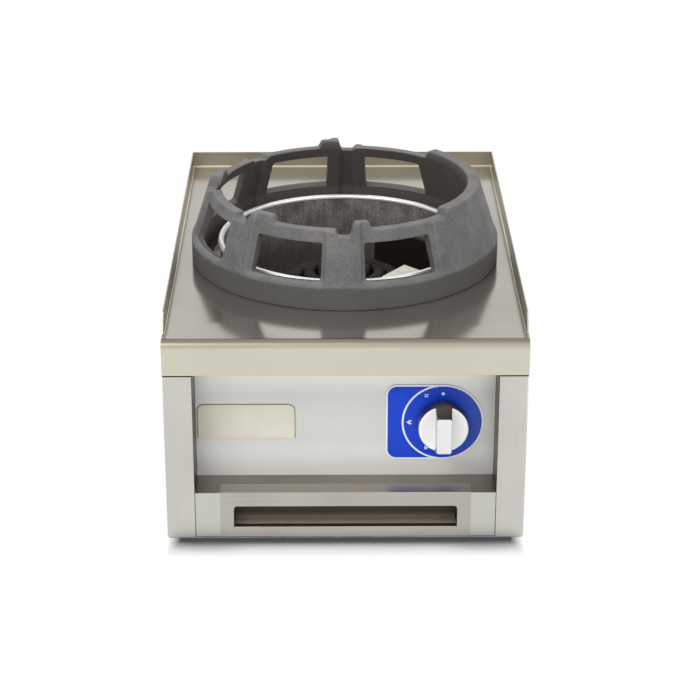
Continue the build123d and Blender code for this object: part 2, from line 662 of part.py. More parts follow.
spring_start = collar_y + STEM_COLLAR_T + SPRING_WIRE / 2
spring_len = plug_y - spring_start - SPRING_WIRE / 2 - SEAM
with BuildPart() as stem_spring:
    with BuildLine():
        coil = Helix(pitch=spring_len / SPRING_TURNS, height=spring_len, radius=SPRING_R,
                     center=(knob_x, spring_start, knob_z), direction=(0, 1, 0))
    with BuildSketch(Plane(origin=coil @ 0, z_dir=coil % 0)):
        Rectangle(SPRING_WIRE, SPRING_WIRE)
    sweep(is_frenet=True)
finish(stem_spring, "stem_spring")

# ---------------------------------------------------------------- knob and panel plates
with BuildPart() as knob:
    with BuildSketch(facing_front(knob_x, panel_y - SKIRT_GAP, knob_z)):
        Circle(KNOB_R)
    extrude(amount=SKIRT_FACE - SKIRT_GAP)
    fillet(knob.faces().sort_by(Axis.Y)[0].edges(), KNOB_ROUND)
    # tapered grip bar across the disc
    with BuildSketch(facing_front(knob_x, panel_y - SKIRT_FACE + KNOB_ROUND, knob_z)):
        RectangleRounded(GRIP_W + GRIP_DRAFT, GRIP_L + GRIP_FOOT, GRIP_ROUND)
    with BuildSketch(facing_front(knob_x, panel_y - GRIP_FACE, knob_z)):
        RectangleRounded(GRIP_W, GRIP_L, GRIP_ROUND)
    loft()
    # hollow skirt round the stem boss
    with BuildSketch(facing_front(knob_x, panel_y - SKIRT_GAP, knob_z)):
        Circle(KNOB_R - KNOB_WALL)
        Circle(STEM_R + KNOB_BOSS_WALL, mode=Mode.SUBTRACT)
    extrude(amount=SKIRT_FACE - SKIRT_GAP - KNOB_WALL, mode=Mode.SUBTRACT)
    with BuildSketch(facing_front(knob_x, panel_y - SKIRT_GAP, knob_z)):
        Circle(STEM_R + FIT)
    extrude(amount=SKIRT_FACE - SKIRT_GAP + STEM_IN_KNOB + SEAM, mode=Mode.SUBTRACT)
finish(knob, "knob")

with BuildPart() as dial_plate:
    with BuildSketch(facing_front(knob_x, panel_y, knob_z)) as dial_face:
        with Locations((-DIAL_TAIL / 2, 0)):
            Rectangle(DIAL_TAIL, 2 * DIAL_R)
        fillet(dial_face.vertices().group_by(Axis.X)[0], DIAL_CORNER)
        Circle(DIAL_R)
        Circle(STEM_R + STEM_PASS, mode=Mode.SUBTRACT)
    extrude(amount=LIGHT_SHEET)
finish(dial_plate, "dial_plate")

with BuildPart() as name_plate:
    with BuildSketch(facing_front(badge_x, panel_y, top_z - BADGE_DROP)) as badge:
        Rectangle(BADGE_W, BADGE_H)
        fillet(badge.vertices().group_by(Axis.Y)[-1], BADGE_CORNER)
    extrude(amount=LIGHT_SHEET)
finish(name_plate, "name_plate")

# ---------------------------------------------------------------- gas line
jet_y = bell_y + MOUTH_T                               # shoulder ends inside the bell mouth
with BuildPart() as injector:
    # hexagon elbow, shoulder that carries the shutter, and the jet
    with BuildSketch(facing_front(0, port_y + INJECTOR_L / 2, mix_z)):
        RegularPolygon(INJECTOR_FLATS / 2, 6, major_radius=False, rotation=30)
    extrude(amount=INJECTOR_L)
    with BuildSketch(facing_right(0, 0, mix_z)):
        with BuildLine():
            Polyline((port_y, 0), (port_y, SHOULDER_R), (jet_y, SHOULDER_R), (jet_y + JET_L, JET_TIP_R),
                     (jet_y + JET_L, 0), close=True)
        make_face()
    revolve(axis=tube_axis)
    with BuildSketch(facing_front(0, jet_y + JET_L, mix_z)):
        Circle(JET_R)
    extrude(amount=2 * JET_L, mode=Mode.SUBTRACT)
finish(injector, "injector")

pipe_end = knob_x - boss_x
with BuildPart() as supply_pipe:
    with BuildSketch(facing_right(INJECTOR_FLATS / 2, port_y, mix_z)):
        Circle(PIPE_R)
        Circle(PIPE_R - PIPE_WALL, mode=Mode.SUBTRACT)
    extrude(amount=pipe_end - INJECTOR_FLATS / 2)
finish(supply_pipe, "supply_pipe")

inlet_face = rear_y - SHEET                             # outside of the rear panel
inlet_in = rear_y - 2 * SHEET - INLET_TAIL              # inner end of the inlet fitting
inlet_end = inlet_face + INLET_FLANGE + INLET_LEN       # open end of the threaded stub
pipe_start = knob_x + boss_x
with BuildPart() as gas_pipe:
    with BuildLine():
        run = FilletPolyline((pipe_start, port_y, knob_z), (pipe_x, port_y, knob_z),
                             (pipe_x, inlet_in, knob_z), radius=PIPE_BEND)
    with BuildSketch(Plane(origin=run @ 0, z_dir=run % 0)):
        Circle(PIPE_R)
        Circle(PIPE_R - PIPE_WALL, mode=Mode.SUBTRACT)
    sweep()
finish(gas_pipe, "gas_pipe")

with BuildPart() as gas_inlet:
    # body through the rear panel, spanner flange against it, threaded stub
    with BuildSketch(facing_front(pipe_x, inlet_end, knob_z)):
        Circle(INLET_R)
    extrude(amount=inlet_end - inlet_in)
    with BuildSketch(facing_front(pipe_x, inlet_face + INLET_FLANGE, knob_z)):
        RegularPolygon(INLET_HEX / 2, 6, major_radius=False)
    extrude(amount=INLET_FLANGE)
    with BuildSketch(facing_front(pipe_x, inlet_end, knob_z)):
        Circle(INLET_R - INLET_WALL)
    extrude(amount=inlet_end - inlet_in, mode=Mode.SUBTRACT)
finish(gas_inlet, "gas_inlet")

with BuildPart() as inlet_nut:
    with BuildSketch(facing_front(pipe_x, rear_y - 2 * SHEET, knob_z)):
        RegularPolygon(INLET_HEX / 2, 6, major_radius=False)
        Circle(INLET_R + SEAM, mode=Mode.SUBTRACT)
    extrude(amount=LOCKNUT_T)
finish(inlet_nut, "inlet_nut")

with BuildPart() as union_nuts:
    # one on each pipe end at the valve and one at the injector
    for start in (pipe_end - UNION_L, pipe_start, INJECTOR_FLATS / 2 + SEAM):
        with BuildSketch(facing_right(start, port_y, knob_z)):
            RegularPolygon(UNION_FLATS / 2, 6, major_radius=False)
            Circle(PIPE_R + SEAM, mode=Mode.SUBTRACT)
        extrude(amount=UNION_L)
finish(union_nuts, "union_nuts")

# ---------------------------------------------------------------- pilot
shield_edge = well_r - SHIELD_GAP
shield_tip = shield_edge - SHIELD_REACH
pilot_at = well_r - PILOT_TO_WALL                       # pilot from the burner axis
shield_out = (cos(radians(SHIELD_ANGLE)), sin(radians(SHIELD_ANGLE)), 0)
shield_plane = Plane(origin=(0, WELL_Y, top_z + SHIELD_Z), x_dir=shield_out, z_dir=(0, 0, 1))
with BuildPart() as pilot_shield:
    # pointed roof over the pilot, turned down where it meets the well wall
    with BuildSketch(shield_plane):
        with BuildLine():
            Polyline((shield_tip, SHIELD_POINT), (shield_tip + SHIELD_SLOPE, -SHIELD_NEAR),
                     (shield_edge, -SHIELD_NEAR), (shield_edge, SHIELD_FAR), close=True)
        make_face()
    extrude(amount=SHEET)
    with BuildSketch(shield_plane):
        with Locations((shield_edge - SHEET / 2, (SHIELD_FAR - SHIELD_NEAR) / 2)):
            Rectangle(SHEET, SHIELD_FAR + SHIELD_NEAR)
    extrude(amount=-SHIELD_DROP)
finish(pilot_shield, "pilot_shield")

pilot_plane = shield_plane.offset(-PILOT_DROP)
hanger_at = pilot_at + HANGER_BACK
hanger_front = pilot_at - HANGER_FRONT
with BuildPart() as pilot_bracket:
    # strip that hangs from the roof and holds the pilot and the thermocouple
    with BuildSketch(shield_plane):
        with Locations((hanger_at + HANGER_LAP / 2, 0)):
            Rectangle(HANGER_LAP, HANGER_W)
    extrude(amount=-HANGER_T)
    with BuildSketch(shield_plane):
        with Locations((hanger_at + HANGER_T / 2, 0)):
            Rectangle(HANGER_T, HANGER_W)
    extrude(amount=-PILOT_DROP)
    with BuildSketch(pilot_plane):
        with Locations(((hanger_at + HANGER_T + hanger_front) / 2, 0)):
            Rectangle(hanger_at + HANGER_T - hanger_front, HANGER_W)
        with Locations((pilot_at, -PILOT_SPREAD), (pilot_at, PILOT_SPREAD)):
            Circle(CAPILLARY_R + SEAM, mode=Mode.SUBTRACT)
    extrude(amount=-HANGER_T)
finish(pilot_bracket, "pilot_bracket")

with BuildPart() as pilot_burner:
    with BuildSketch(pilot_plane):
        with Locations((pilot_at, -PILOT_SPREAD)):
            Circle(PILOT_R)
    extrude(amount=PILOT_L)
    with BuildSketch(pilot_plane.offset(PILOT_L)):
        with Locations((pilot_at, -PILOT_SPREAD)):
            Circle(PILOT_BORE)
    extrude(amount=-PILOT_L / 2, mode=Mode.SUBTRACT)
finish(pilot_burner, "pilot_burner")

with BuildPart() as thermocouple:
    with BuildSketch(pilot_plane):
        with Locations((pilot_at, PILOT_SPREAD)):
            Circle(PROBE_R)
    extrude(amount=PROBE_L)
    with BuildSketch(pilot_plane.offset(PROBE_L)):
        with Locations((pilot_at, PILOT_SPREAD)):
            Circle(PROBE_TIP_R)
    extrude(amount=PROBE_TIP_L)
finish(thermocouple, "thermocouple")


def capillary(name, side):
    """Thin pipe from the pilot bracket down through the air opening to the valve."""
    top = pilot_plane.from_local_coords(Vector(pilot_at, side * PILOT_SPREAD, 0))
    end_x = knob_x + side * PILOT_SPREAD
    with BuildPart() as pipe:
        with BuildLine():
            path = FilletPolyline((top.X, top.Y, top.Z), (top.X, top.Y, knob_z),
                                  (end_x, valve_back + CAPILLARY_TURN, knob_z),
                                  (end_x, valve_back, knob_z), radius=CAPILLARY_BEND)
        with BuildSketch(Plane(origin=path @ 0, z_dir=path % 0)):
            Circle(CAPILLARY_R)
        sweep()
    finish(pipe, name)


capillary("pilot_pipe", -1)
capillary("thermocouple_lead", 1)

# ---------------------------------------------------------------- casing
return_y = panel_y + RETURN_TAIL
foot_spots = [(-half + FOOT_INSET_X, front + FOOT_INSET_Y), (half - FOOT_INSET_X, front + FOOT_INSET_Y),
              (-half + FOOT_INSET_X, rear_y - FOOT_INSET_Y), (half - FOOT_INSET_X, rear_y - FOOT_INSET_Y)]
rear_screw_z = [floor_z + SCREW_EDGE, (floor_z + under_top) / 2, under_top - SCREW_EDGE]
rear_screw_x = wall_x - REAR_FLANGE / 2

with BuildPart() as floor_pan:
    with BuildSketch(Plane.XY.offset(pan_z)):
        with Locations((0, (post_y + rear_y) / 2)):
            Rectangle(2 * wall_x, rear_y - post_y)
        with Locations(*foot_spots):
            Circle(STUD_R + SEAM, mode=Mode.SUBTRACT)
        # combustion air comes up through these
        with Locations((0, WELL_Y)):
            with GridLocations(VENT_PITCH_X, VENT_PITCH, VENT_COLUMNS, FLOOR_VENT_ROWS):
                Rectangle(VENT_W, VENT_H, mode=Mode.SUBTRACT)
    extrude(amount=SHEET)
finish(floor_pan, "floor_pan")

for side, name in ((-1, "side_panel_left"), (1, "side_panel_right")):
    with BuildPart() as side_panel:
        # one folded sheet: rear flange, wall, post face and the return to the control panel
        with BuildSketch(Plane.XY.offset(floor_z)):
            with BuildLine():
                Polyline((side * (wall_x - REAR_FLANGE), rear_y), (side * wall_x, rear_y),
                         (side * wall_x, post_y), (side * post_in, post_y), (side * post_in, return_y),
                         (side * (post_in + SHEET), return_y), (side * (post_in + SHEET), post_y + SHEET),
                         (side * wall_in, post_y + SHEET), (side * wall_in, rear_y - SHEET),
                         (side * (wall_x - REAR_FLANGE), rear_y - SHEET), close=True)
            make_face()
        extrude(amount=under_top - floor_z)
        fillet(side_panel.edges().filter_by(Axis.Z).group_by(Axis.Y)[0], BEND_R)
        # relief under the bullnose of the work top
        with BuildSketch(facing_right(-half)):
            with Locations((post_y, under_top)):
                Rectangle(2 * NOSE_R, 2 * NOSE_R)
        extrude(amount=WIDTH, mode=Mode.SUBTRACT)
        with BuildSketch(facing_front(0, rear_y, 0)):
            with Locations(*[(side * rear_screw_x, z) for z in rear_screw_z]):
                Circle(SCREW_R + SEAM)
        extrude(amount=SHEET, mode=Mode.SUBTRACT)
    finish(side_panel, name)

with BuildPart() as rear_panel:
    with BuildSketch(facing_front(0, rear_y - SHEET, 0)):
        with Locations((0, (floor_z + under_top) / 2)):
            Rectangle(2 * (wall_in - SEAM), under_top - floor_z)
        with Locations((pipe_x, knob_z)):
            Circle(INLET_R + SEAM, mode=Mode.SUBTRACT)
        with Locations(*[(side * rear_screw_x, z) for side in (-1, 1) for z in rear_screw_z]):
            Circle(SCREW_R + SEAM, mode=Mode.SUBTRACT)
        with Locations((0, under_top - REAR_VENT_DROP)):
            with GridLocations(VENT_PITCH_X, VENT_PITCH, VENT_COLUMNS, REAR_VENT_ROWS):
                Rectangle(VENT_W, VENT_H, mode=Mode.SUBTRACT)
    extrude(amount=SHEET)
finish(rear_panel, "rear_panel")

with BuildPart() as rear_screws:
    with BuildSketch(facing_front(0, rear_y + SCREW_HEAD_H, 0)):
        with Locations(*[(side * rear_screw_x, z) for side in (-1, 1) for z in rear_screw_z]):
            Circle(SCREW_HEAD_R)
    extrude(amount=SCREW_HEAD_H)
    with BuildSketch(facing_front(0, rear_y, 0)):
        with Locations(*[(side * rear_screw_x, z) for side in (-1, 1) for z in rear_screw_z]):
            Circle(SCREW_R)
    extrude(amount=3 * SHEET)
finish(rear_screws, "rear_screws")

with BuildPart() as control_panel:
    with BuildSketch(Plane.XY.offset(ledge_z)):
        with BuildLine():
            Polyline((-panel_half, return_y), (-panel_half, panel_y), (panel_half, panel_y),
                     (panel_half, return_y), (panel_half - SHEET, return_y),
                     (panel_half - SHEET, panel_back), (SHEET - panel_half, panel_back),
                     (SHEET - panel_half, return_y), close=True)
        make_face()
    extrude(amount=under_top - ledge_z)
    with BuildSketch(facing_front(knob_x, panel_y, knob_z)):
        Circle(STEM_R + STEM_PASS)
    extrude(amount=-2 * SHEET, mode=Mode.SUBTRACT)
finish(control_panel, "control_panel")

ledge_front = drawer_y + SHEET + SEAM
with BuildPart() as drawer_ledge:
    with BuildSketch(facing_right(-panel_half)):
        with BuildLine():
            Polyline((ledge_front, ledge_z - SHEET), (panel_back, ledge_z - SHEET), (panel_back, ledge_z),
                     (ledge_front, ledge_z), close=True)
        make_face()
    extrude(amount=2 * panel_half)
    with BuildSketch(facing_right(-panel_half + SHEET + SEAM)):
        with Locations((panel_back + SHEET / 2, ledge_z - SHEET + LEDGE_UP / 2)):
            Rectangle(SHEET, LEDGE_UP)
    extrude(amount=2 * (panel_half - SHEET - SEAM))
finish(drawer_ledge, "drawer_ledge")

foot_names = ["foot_front_left", "foot_front_right", "foot_rear_left", "foot_rear_right"]
for (x, y), name in zip(foot_spots, foot_names):
    with BuildPart() as foot:
        with BuildSketch(Plane.XY):
            with Locations((x, y)):
                Circle(FOOT_R)
        extrude(amount=FOOT_H)
        chamfer(foot.faces().sort_by(Axis.Z)[0].edges(), FOOT_CHAMFER)
        with BuildSketch(Plane.XY.offset(FOOT_H)):
            with Locations((x, y)):
                Circle(STUD_R)
        extrude(amount=SHEET + STUD_UP)
    finish(foot, name)

# ---------------------------------------------------------------- drawer
rail_start = return_y + SEAM
rail_end = tray_y + DRAWER_L
rail_in = pan_half + RAIL_GAP                           # inner edges of the rails
for side, name in ((-1, "drawer_rail_left"), (1, "drawer_rail_right")):
    with BuildPart() as rail:
        with BuildSketch(facing_front(0, rail_end, 0)):
            with BuildLine():
                Polyline((side * wall_in, rail_z + RAIL_UP), (side * wall_in, rail_z - SHEET),
                         (side * rail_in, rail_z - SHEET), (side * rail_in, rail_z),
                         (side * (wall_in - SHEET), rail_z), (side * (wall_in - SHEET), rail_z + RAIL_UP),
                         close=True)
            make_face()
        extrude(amount=rail_end - rail_start)
    finish(rail, name)

tray_top = tray_z + DRAWER_H
with BuildPart() as drip_pan:
    with BuildSketch(Plane.XY.offset(tray_z)):
        with Locations((0, tray_y + DRAWER_L / 2)):
            RectangleRounded(2 * pan_half, DRAWER_L, PAN_CORNER)
    extrude(amount=DRAWER_H)
    with BuildSketch(Plane.XY.offset(tray_z + SHEET)):
        with Locations((0, tray_y + DRAWER_L / 2)):
            RectangleRounded(2 * (pan_half - SHEET), DRAWER_L - 2 * SHEET, PAN_CORNER - SHEET)
    extrude(amount=DRAWER_H, mode=Mode.SUBTRACT)
    # out-turned edges that slide on the rails
    for side in (-1, 1):
        with BuildSketch(Plane.XY.offset(tray_top)):
            with Locations((side * (pan_half - SHEET / 2 + PAN_LIP / 2), tray_y + DRAWER_L / 2)):
                Rectangle(PAN_LIP + SHEET, DRAWER_L - 2 * PAN_CORNER)
        extrude(amount=-SHEET)
finish(drip_pan, "drip_pan")

front_base = floor_z + 2 * SEAM
slot_z = pan_z + SLOT_BASE
slot_mid = slot_z + SLOT_H / 2
with BuildPart() as drawer_front:
    with BuildSketch(Plane.XY.offset(front_base)):
        with BuildLine():
            Polyline((-panel_half + TUCK, tray_y), (-panel_half, tray_y), (-panel_half, drawer_y),
                     (panel_half, drawer_y), (panel_half, tray_y), (panel_half - TUCK, tray_y),
                     (panel_half - TUCK, tray_y - SHEET), (panel_half - SHEET, tray_y - SHEET),
                     (panel_half - SHEET, drawer_y + SHEET), (SHEET - panel_half, drawer_y + SHEET),
                     (SHEET - panel_half, tray_y - SHEET), (-panel_half + TUCK, tray_y - SHEET),
                     close=True)
        make_face()
    extrude(amount=ledge_z - SHEET - SEAM - front_base)
    # the face alone runs up past the ledge's front edge
    with BuildSketch(facing_front(0, drawer_y + SHEET, 0)):
        with Locations((0, (front_base + ledge_z) / 2)):
            Rectangle(2 * panel_half, ledge_z - front_base)
    extrude(amount=SHEET)
    with BuildSketch(facing_front(0, drawer_y + 2 * SHEET, 0)):
        with Locations((0, slot_mid - SHEET)):
            Rectangle(2 * slot_half, SLOT_H + 2 * SHEET + 2 * SEAM)
    extrude(amount=3 * SHEET, mode=Mode.SUBTRACT)
finish(drawer_front, "drawer_front")

handle_base = pan_z + HANDLE_RISE
handle_top = ledge_z + SEAM + SHEET
with BuildPart() as drawer_handle:
    with BuildSketch(facing_right(-handle_half)):
        with BuildLine():
            Polyline((drawer_y, handle_base), (drawer_y - SHEET, handle_base),
                     (drawer_y - SHEET, handle_top), (drawer_y + HANDLE_TOP, handle_top),
                     (drawer_y + HANDLE_TOP, handle_top - SHEET), (drawer_y, handle_top - SHEET),
                     close=True)
        make_face()
    extrude(amount=2 * handle_half)
    with BuildSketch(facing_front(0, drawer_y + SHEET, slot_mid)) as slot:
        Rectangle(2 * slot_half, SLOT_H)
        fillet(slot.vertices().group_by(Axis.Y)[-1], SLOT_R)
    extrude(amount=3 * SHEET, mode=Mode.SUBTRACT)
    # folded lower edge of the finger slot
    with BuildSketch(facing_right(SEAM - slot_half)):
        with Locations((drawer_y - SHEET + SLOT_LIP / 2, slot_z - SHEET / 2)):
            Rectangle(SLOT_LIP, SHEET)
    extrude(amount=2 * (slot_half - SEAM))
finish(drawer_handle, "drawer_handle")
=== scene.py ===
"""Looks of a single-burner countertop gas wok range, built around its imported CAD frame.

Every length is in metres in the frame's own axes: +X to the right, the cook stands at -Y,
+Z up, origin on the counter under the middle of the casing.
"""
from __future__ import annotations

import json
import logging
import math
from dataclasses import dataclass
from enum import Enum
from typing import Iterable, Sequence

import bmesh
import bpy
import numpy as np
from mathutils import Matrix, Vector

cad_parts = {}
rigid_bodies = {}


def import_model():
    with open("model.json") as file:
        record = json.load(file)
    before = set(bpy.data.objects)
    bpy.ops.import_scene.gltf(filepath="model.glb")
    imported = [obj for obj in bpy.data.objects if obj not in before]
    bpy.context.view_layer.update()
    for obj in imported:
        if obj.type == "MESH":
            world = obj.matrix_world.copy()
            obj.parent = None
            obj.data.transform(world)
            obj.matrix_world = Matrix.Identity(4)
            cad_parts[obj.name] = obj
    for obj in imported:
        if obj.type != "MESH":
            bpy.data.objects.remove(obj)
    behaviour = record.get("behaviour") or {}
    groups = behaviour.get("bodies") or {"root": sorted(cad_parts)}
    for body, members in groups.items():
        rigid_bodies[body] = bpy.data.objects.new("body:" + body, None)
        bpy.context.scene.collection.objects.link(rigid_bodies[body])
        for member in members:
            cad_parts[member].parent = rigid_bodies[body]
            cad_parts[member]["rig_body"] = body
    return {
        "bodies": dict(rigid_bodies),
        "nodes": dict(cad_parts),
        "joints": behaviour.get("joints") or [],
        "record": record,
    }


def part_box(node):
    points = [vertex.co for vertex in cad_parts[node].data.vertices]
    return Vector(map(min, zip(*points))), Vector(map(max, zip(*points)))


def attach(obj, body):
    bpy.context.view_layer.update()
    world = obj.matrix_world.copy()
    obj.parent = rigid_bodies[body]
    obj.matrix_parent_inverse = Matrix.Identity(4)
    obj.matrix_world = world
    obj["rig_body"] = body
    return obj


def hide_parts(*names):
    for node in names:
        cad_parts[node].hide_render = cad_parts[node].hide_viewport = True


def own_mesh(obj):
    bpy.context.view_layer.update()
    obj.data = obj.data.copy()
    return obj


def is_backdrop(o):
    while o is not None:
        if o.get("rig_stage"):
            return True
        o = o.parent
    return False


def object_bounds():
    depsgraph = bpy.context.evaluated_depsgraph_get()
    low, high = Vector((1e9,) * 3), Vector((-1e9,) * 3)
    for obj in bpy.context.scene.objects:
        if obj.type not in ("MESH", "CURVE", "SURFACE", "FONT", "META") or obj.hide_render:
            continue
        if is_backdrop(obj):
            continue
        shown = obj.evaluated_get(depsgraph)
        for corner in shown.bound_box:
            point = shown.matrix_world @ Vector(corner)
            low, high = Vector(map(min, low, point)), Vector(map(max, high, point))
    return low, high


LOG = logging.getLogger("wok_range")
MM = 0.001
SMOOTH_ANGLE = math.radians(32.0)
FLAT_ANGLE = math.radians(0.5)
CAD_REACH = 2e-6
BEVEL_STEPS = 2

UP = (0.0, 0.0, 1.0)
TO_COOK = (0.0, -1.0, 0.0)
# scales of the grain along X, Y and Z; the grain runs along an axis with a small scale
BRUSHED_UPRIGHT = (900.0, 900.0, 6.0)
DRAWN = (160.0, 160.0, 160.0)
SOFT_METAL = (120.0, 120.0, 120.0)
UNMOVED = Matrix.Identity(4)

Colour = tuple[float, float, float, float]
Outline = Sequence[tuple[float, float]]
Loop = list[tuple[float, float, float]]


def srgb(code: str) -> Colour:
    """Linear colour of a six-digit sRGB code.

    Args:
        code: Hex digits, with or without a leading hash.

    Returns:
        The linear red, green, blue and an alpha of one.
    """
    digits = code.lstrip("#")
    channels = [int(digits[i:i + 2], 16) / 255 for i in (0, 2, 4)]
    linear = [c / 12.92 if c <= 0.04045 else ((c + 0.055) / 1.055) ** 2.4 for c in channels]
    return (linear[0], linear[1], linear[2], 1.0)


def smoothstep(x: np.ndarray | float, low: float, high: float) -> np.ndarray:
    """Smooth ramp from 0 at low to 1 at high."""
    t = np.clip((np.asarray(x, float) - low) / (high - low), 0.0, 1.0)
    return t * t * (3.0 - 2.0 * t)


# ---------------------------------------------------------------- shader building
class ShaderGraph:
    """Builder for one procedural material around a Principled shader."""

    def __init__(self, name: str) -> None:
        self.material = bpy.data.materials.new(name)
        self.material.use_nodes = True
        self.tree = self.material.node_tree
        self.tree.nodes.clear()
        self.output = self.add("ShaderNodeOutputMaterial")
        self.shader = self.add("ShaderNodeBsdfPrincipled")
        self.tree.links.new(self.shader.outputs["BSDF"], self.output.inputs["Surface"])

    def add(self, kind: str, inputs: dict | None = None, **settings) -> bpy.types.Node:
        """Add a node, set its properties, then its inputs by identifier or name."""
        node = self.tree.nodes.new(kind)
        for key, value in settings.items():
            setattr(node, key, value)
        for key, value in (inputs or {}).items():
            self.feed(self.socket(node.inputs, key), value)
        return node

    @staticmethod
    def socket(sockets, key: str):
        """The socket with that identifier, or else with that name."""
        for item in sockets:
            if item.identifier == key:
                return item
        return sockets[key]

    def feed(self, socket, value) -> None:
        """Link another node's socket, or write a constant; text is an sRGB code."""
        if isinstance(value, bpy.types.NodeSocket):
            self.tree.links.new(value, socket)
        else:
            socket.default_value = srgb(value) if isinstance(value, str) else value

    def surface(self, **inputs) -> None:
        """Feed the Principled shader; underscores in a name stand for spaces."""
        for key, value in inputs.items():
            self.feed(self.shader.inputs[key.replace("_", " ")], value)

    def coordinates(self, scale: Sequence[float] = (1, 1, 1), turn: Sequence[float] = (0, 0, 0)):
        """Object coordinates, turned and scaled."""
        source = self.add("ShaderNodeTexCoord")
        mapping = self.add("ShaderNodeMapping", {"Vector": source.outputs["Object"], "Scale": scale,
                                                 "Rotation": turn})
        return mapping.outputs["Vector"]

    def noise(self, vector, scale: float, detail: float = 3.0, roughness: float = 0.5):
        """Noise value from 0 to 1."""
        node = self.add("ShaderNodeTexNoise", {"Vector": vector, "Scale": scale, "Detail": detail,
                                               "Roughness": roughness})
        return node.outputs[0]

    def between(self, value, low: float, high: float, out_low: float = 0.0, out_high: float = 1.0):
        """Map a value from one range to another, clamped."""
        node = self.add("ShaderNodeMapRange", {"Value": value, "From Min": low, "From Max": high,
                                               "To Min": out_low, "To Max": out_high})
        return node.outputs["Result"]

    def math(self, operation: str, first, second=0.0):
        """One Math node."""
        node = self.add("ShaderNodeMath", operation=operation)
        self.feed(node.inputs[0], first)
        self.feed(node.inputs[1], second)
        return node.outputs[0]

    def times(self, first, second):
        """Product of two values."""
        return self.math("MULTIPLY", first, second)

    def blend(self, first, share: float, second):
        """Two values added, the first by its share and the second by the rest."""
        return self.math("ADD", self.times(first, share), self.times(second, 1.0 - share))

    def mix(self, factor, first, second):
        """Mix two colours."""
        node = self.add("ShaderNodeMix", {"Factor_Float": factor, "A_Color": first, "B_Color": second},
                        data_type="RGBA")
        return self.socket(node.outputs, "Result_Color")

    def vector(self, operation: str, first, second=(0.0, 0.0, 0.0), output: str = "Vector"):
        """One Vector Math node."""
        node = self.add("ShaderNodeVectorMath", operation=operation)
        self.feed(node.inputs[0], first)
        self.feed(node.inputs[1], second)
        return node.outputs[output]

    def place(self, axis: str):
        """One object coordinate, X, Y or Z."""
        source = self.add("ShaderNodeTexCoord").outputs["Object"]
        return self.add("ShaderNodeSeparateXYZ", {"Vector": source}).outputs[axis]

    def along(self, direction):
        """Cosine between the surface's normal and a direction."""
        normal = self.add("ShaderNodeTexCoord").outputs["Normal"]
        return self.vector("DOT_PRODUCT", normal, direction, "Value")

    def facing(self, direction: Sequence[float], low: float = 0.5, high: float = 0.9):
        """1 where the surface looks along a direction, 0 where it turns away."""
        return self.between(self.along(direction), low, high)

    def bump(self, height, distance: float, strength: float = 1.0, normal=None):
        """Bump from a height value, distance in metres."""
        inputs = {"Height": height, "Distance": distance, "Strength": strength}
        if normal is not None:
            inputs["Normal"] = normal
        return self.add("ShaderNodeBump", inputs).outputs["Normal"]


@dataclass(frozen=True)
class Steel:
    """Sheet steel with a brushed or mottled face."""

    colour: str
    deep: str
    roughness: float = 0.3
    grain: tuple[float, float, float] = (6.0, 900.0, 900.0)
    grain_height: float = 0.000004
    mottle: float = 14.0
    metallic: float = 1.0
    painted_top_tone: str = ""
    painted_inner_shade: str = ""
    shadow_line: tuple[float, float] = (0.0, 0.0)
    painted_end_light: str = ""
    painted_light_heights: tuple[float, float, float, float] = (0.0, 0.0, 0.0, 0.0)

    def material(self, name: str) -> bpy.types.Material:
        """Build the material."""
        g = ShaderGraph(name)
        grain = g.noise(g.coordinates(self.grain), 1.0, 2.0)
        cloud = g.noise(g.coordinates(), self.mottle, 3.0)
        tone = g.blend(grain, 0.35, cloud)
        colour = g.mix(g.between(tone, 0.35, 0.65), self.deep, self.colour)
        # painted light and shade: faces that look up take their own lighter or darker tone
        if self.painted_top_tone:
            colour = g.mix(g.facing(UP), colour, self.painted_top_tone)
        # painted light: colour lifted below and above the given heights, against the shade there
        if self.painted_end_light:
            base, low, high, top = self.painted_light_heights
            height = g.place("Z")
            ends = g.math("MAXIMUM", g.between(height, low, base), g.between(height, high, top))
            colour = g.mix(ends, colour, self.painted_end_light)
        # painted shade: faces that turn inward, and a thin painted shadow line at the given heights, go dark
        if self.painted_inner_shade:
            side = g.math("SIGN", g.place("X"))
            turned_in = g.times(g.along((-1.0, 0.0, 0.0)), side)
            height, (low, high) = g.place("Z"), self.shadow_line
            soft = 0.2 * MM
            shadow_line = g.times(g.between(height, low - soft, low), g.between(height, high + soft, high))
            dark = g.math("MAXIMUM", g.between(turned_in, 0.5, 0.9), shadow_line)
            colour = g.mix(dark, colour, self.painted_inner_shade)
        rough = g.between(grain, 0.3, 0.7, self.roughness * 0.85, self.roughness * 1.15)
        g.surface(Base_Color=colour, Metallic=self.metallic, Roughness=rough,
                  Normal=g.bump(grain, self.grain_height))
        return g.material


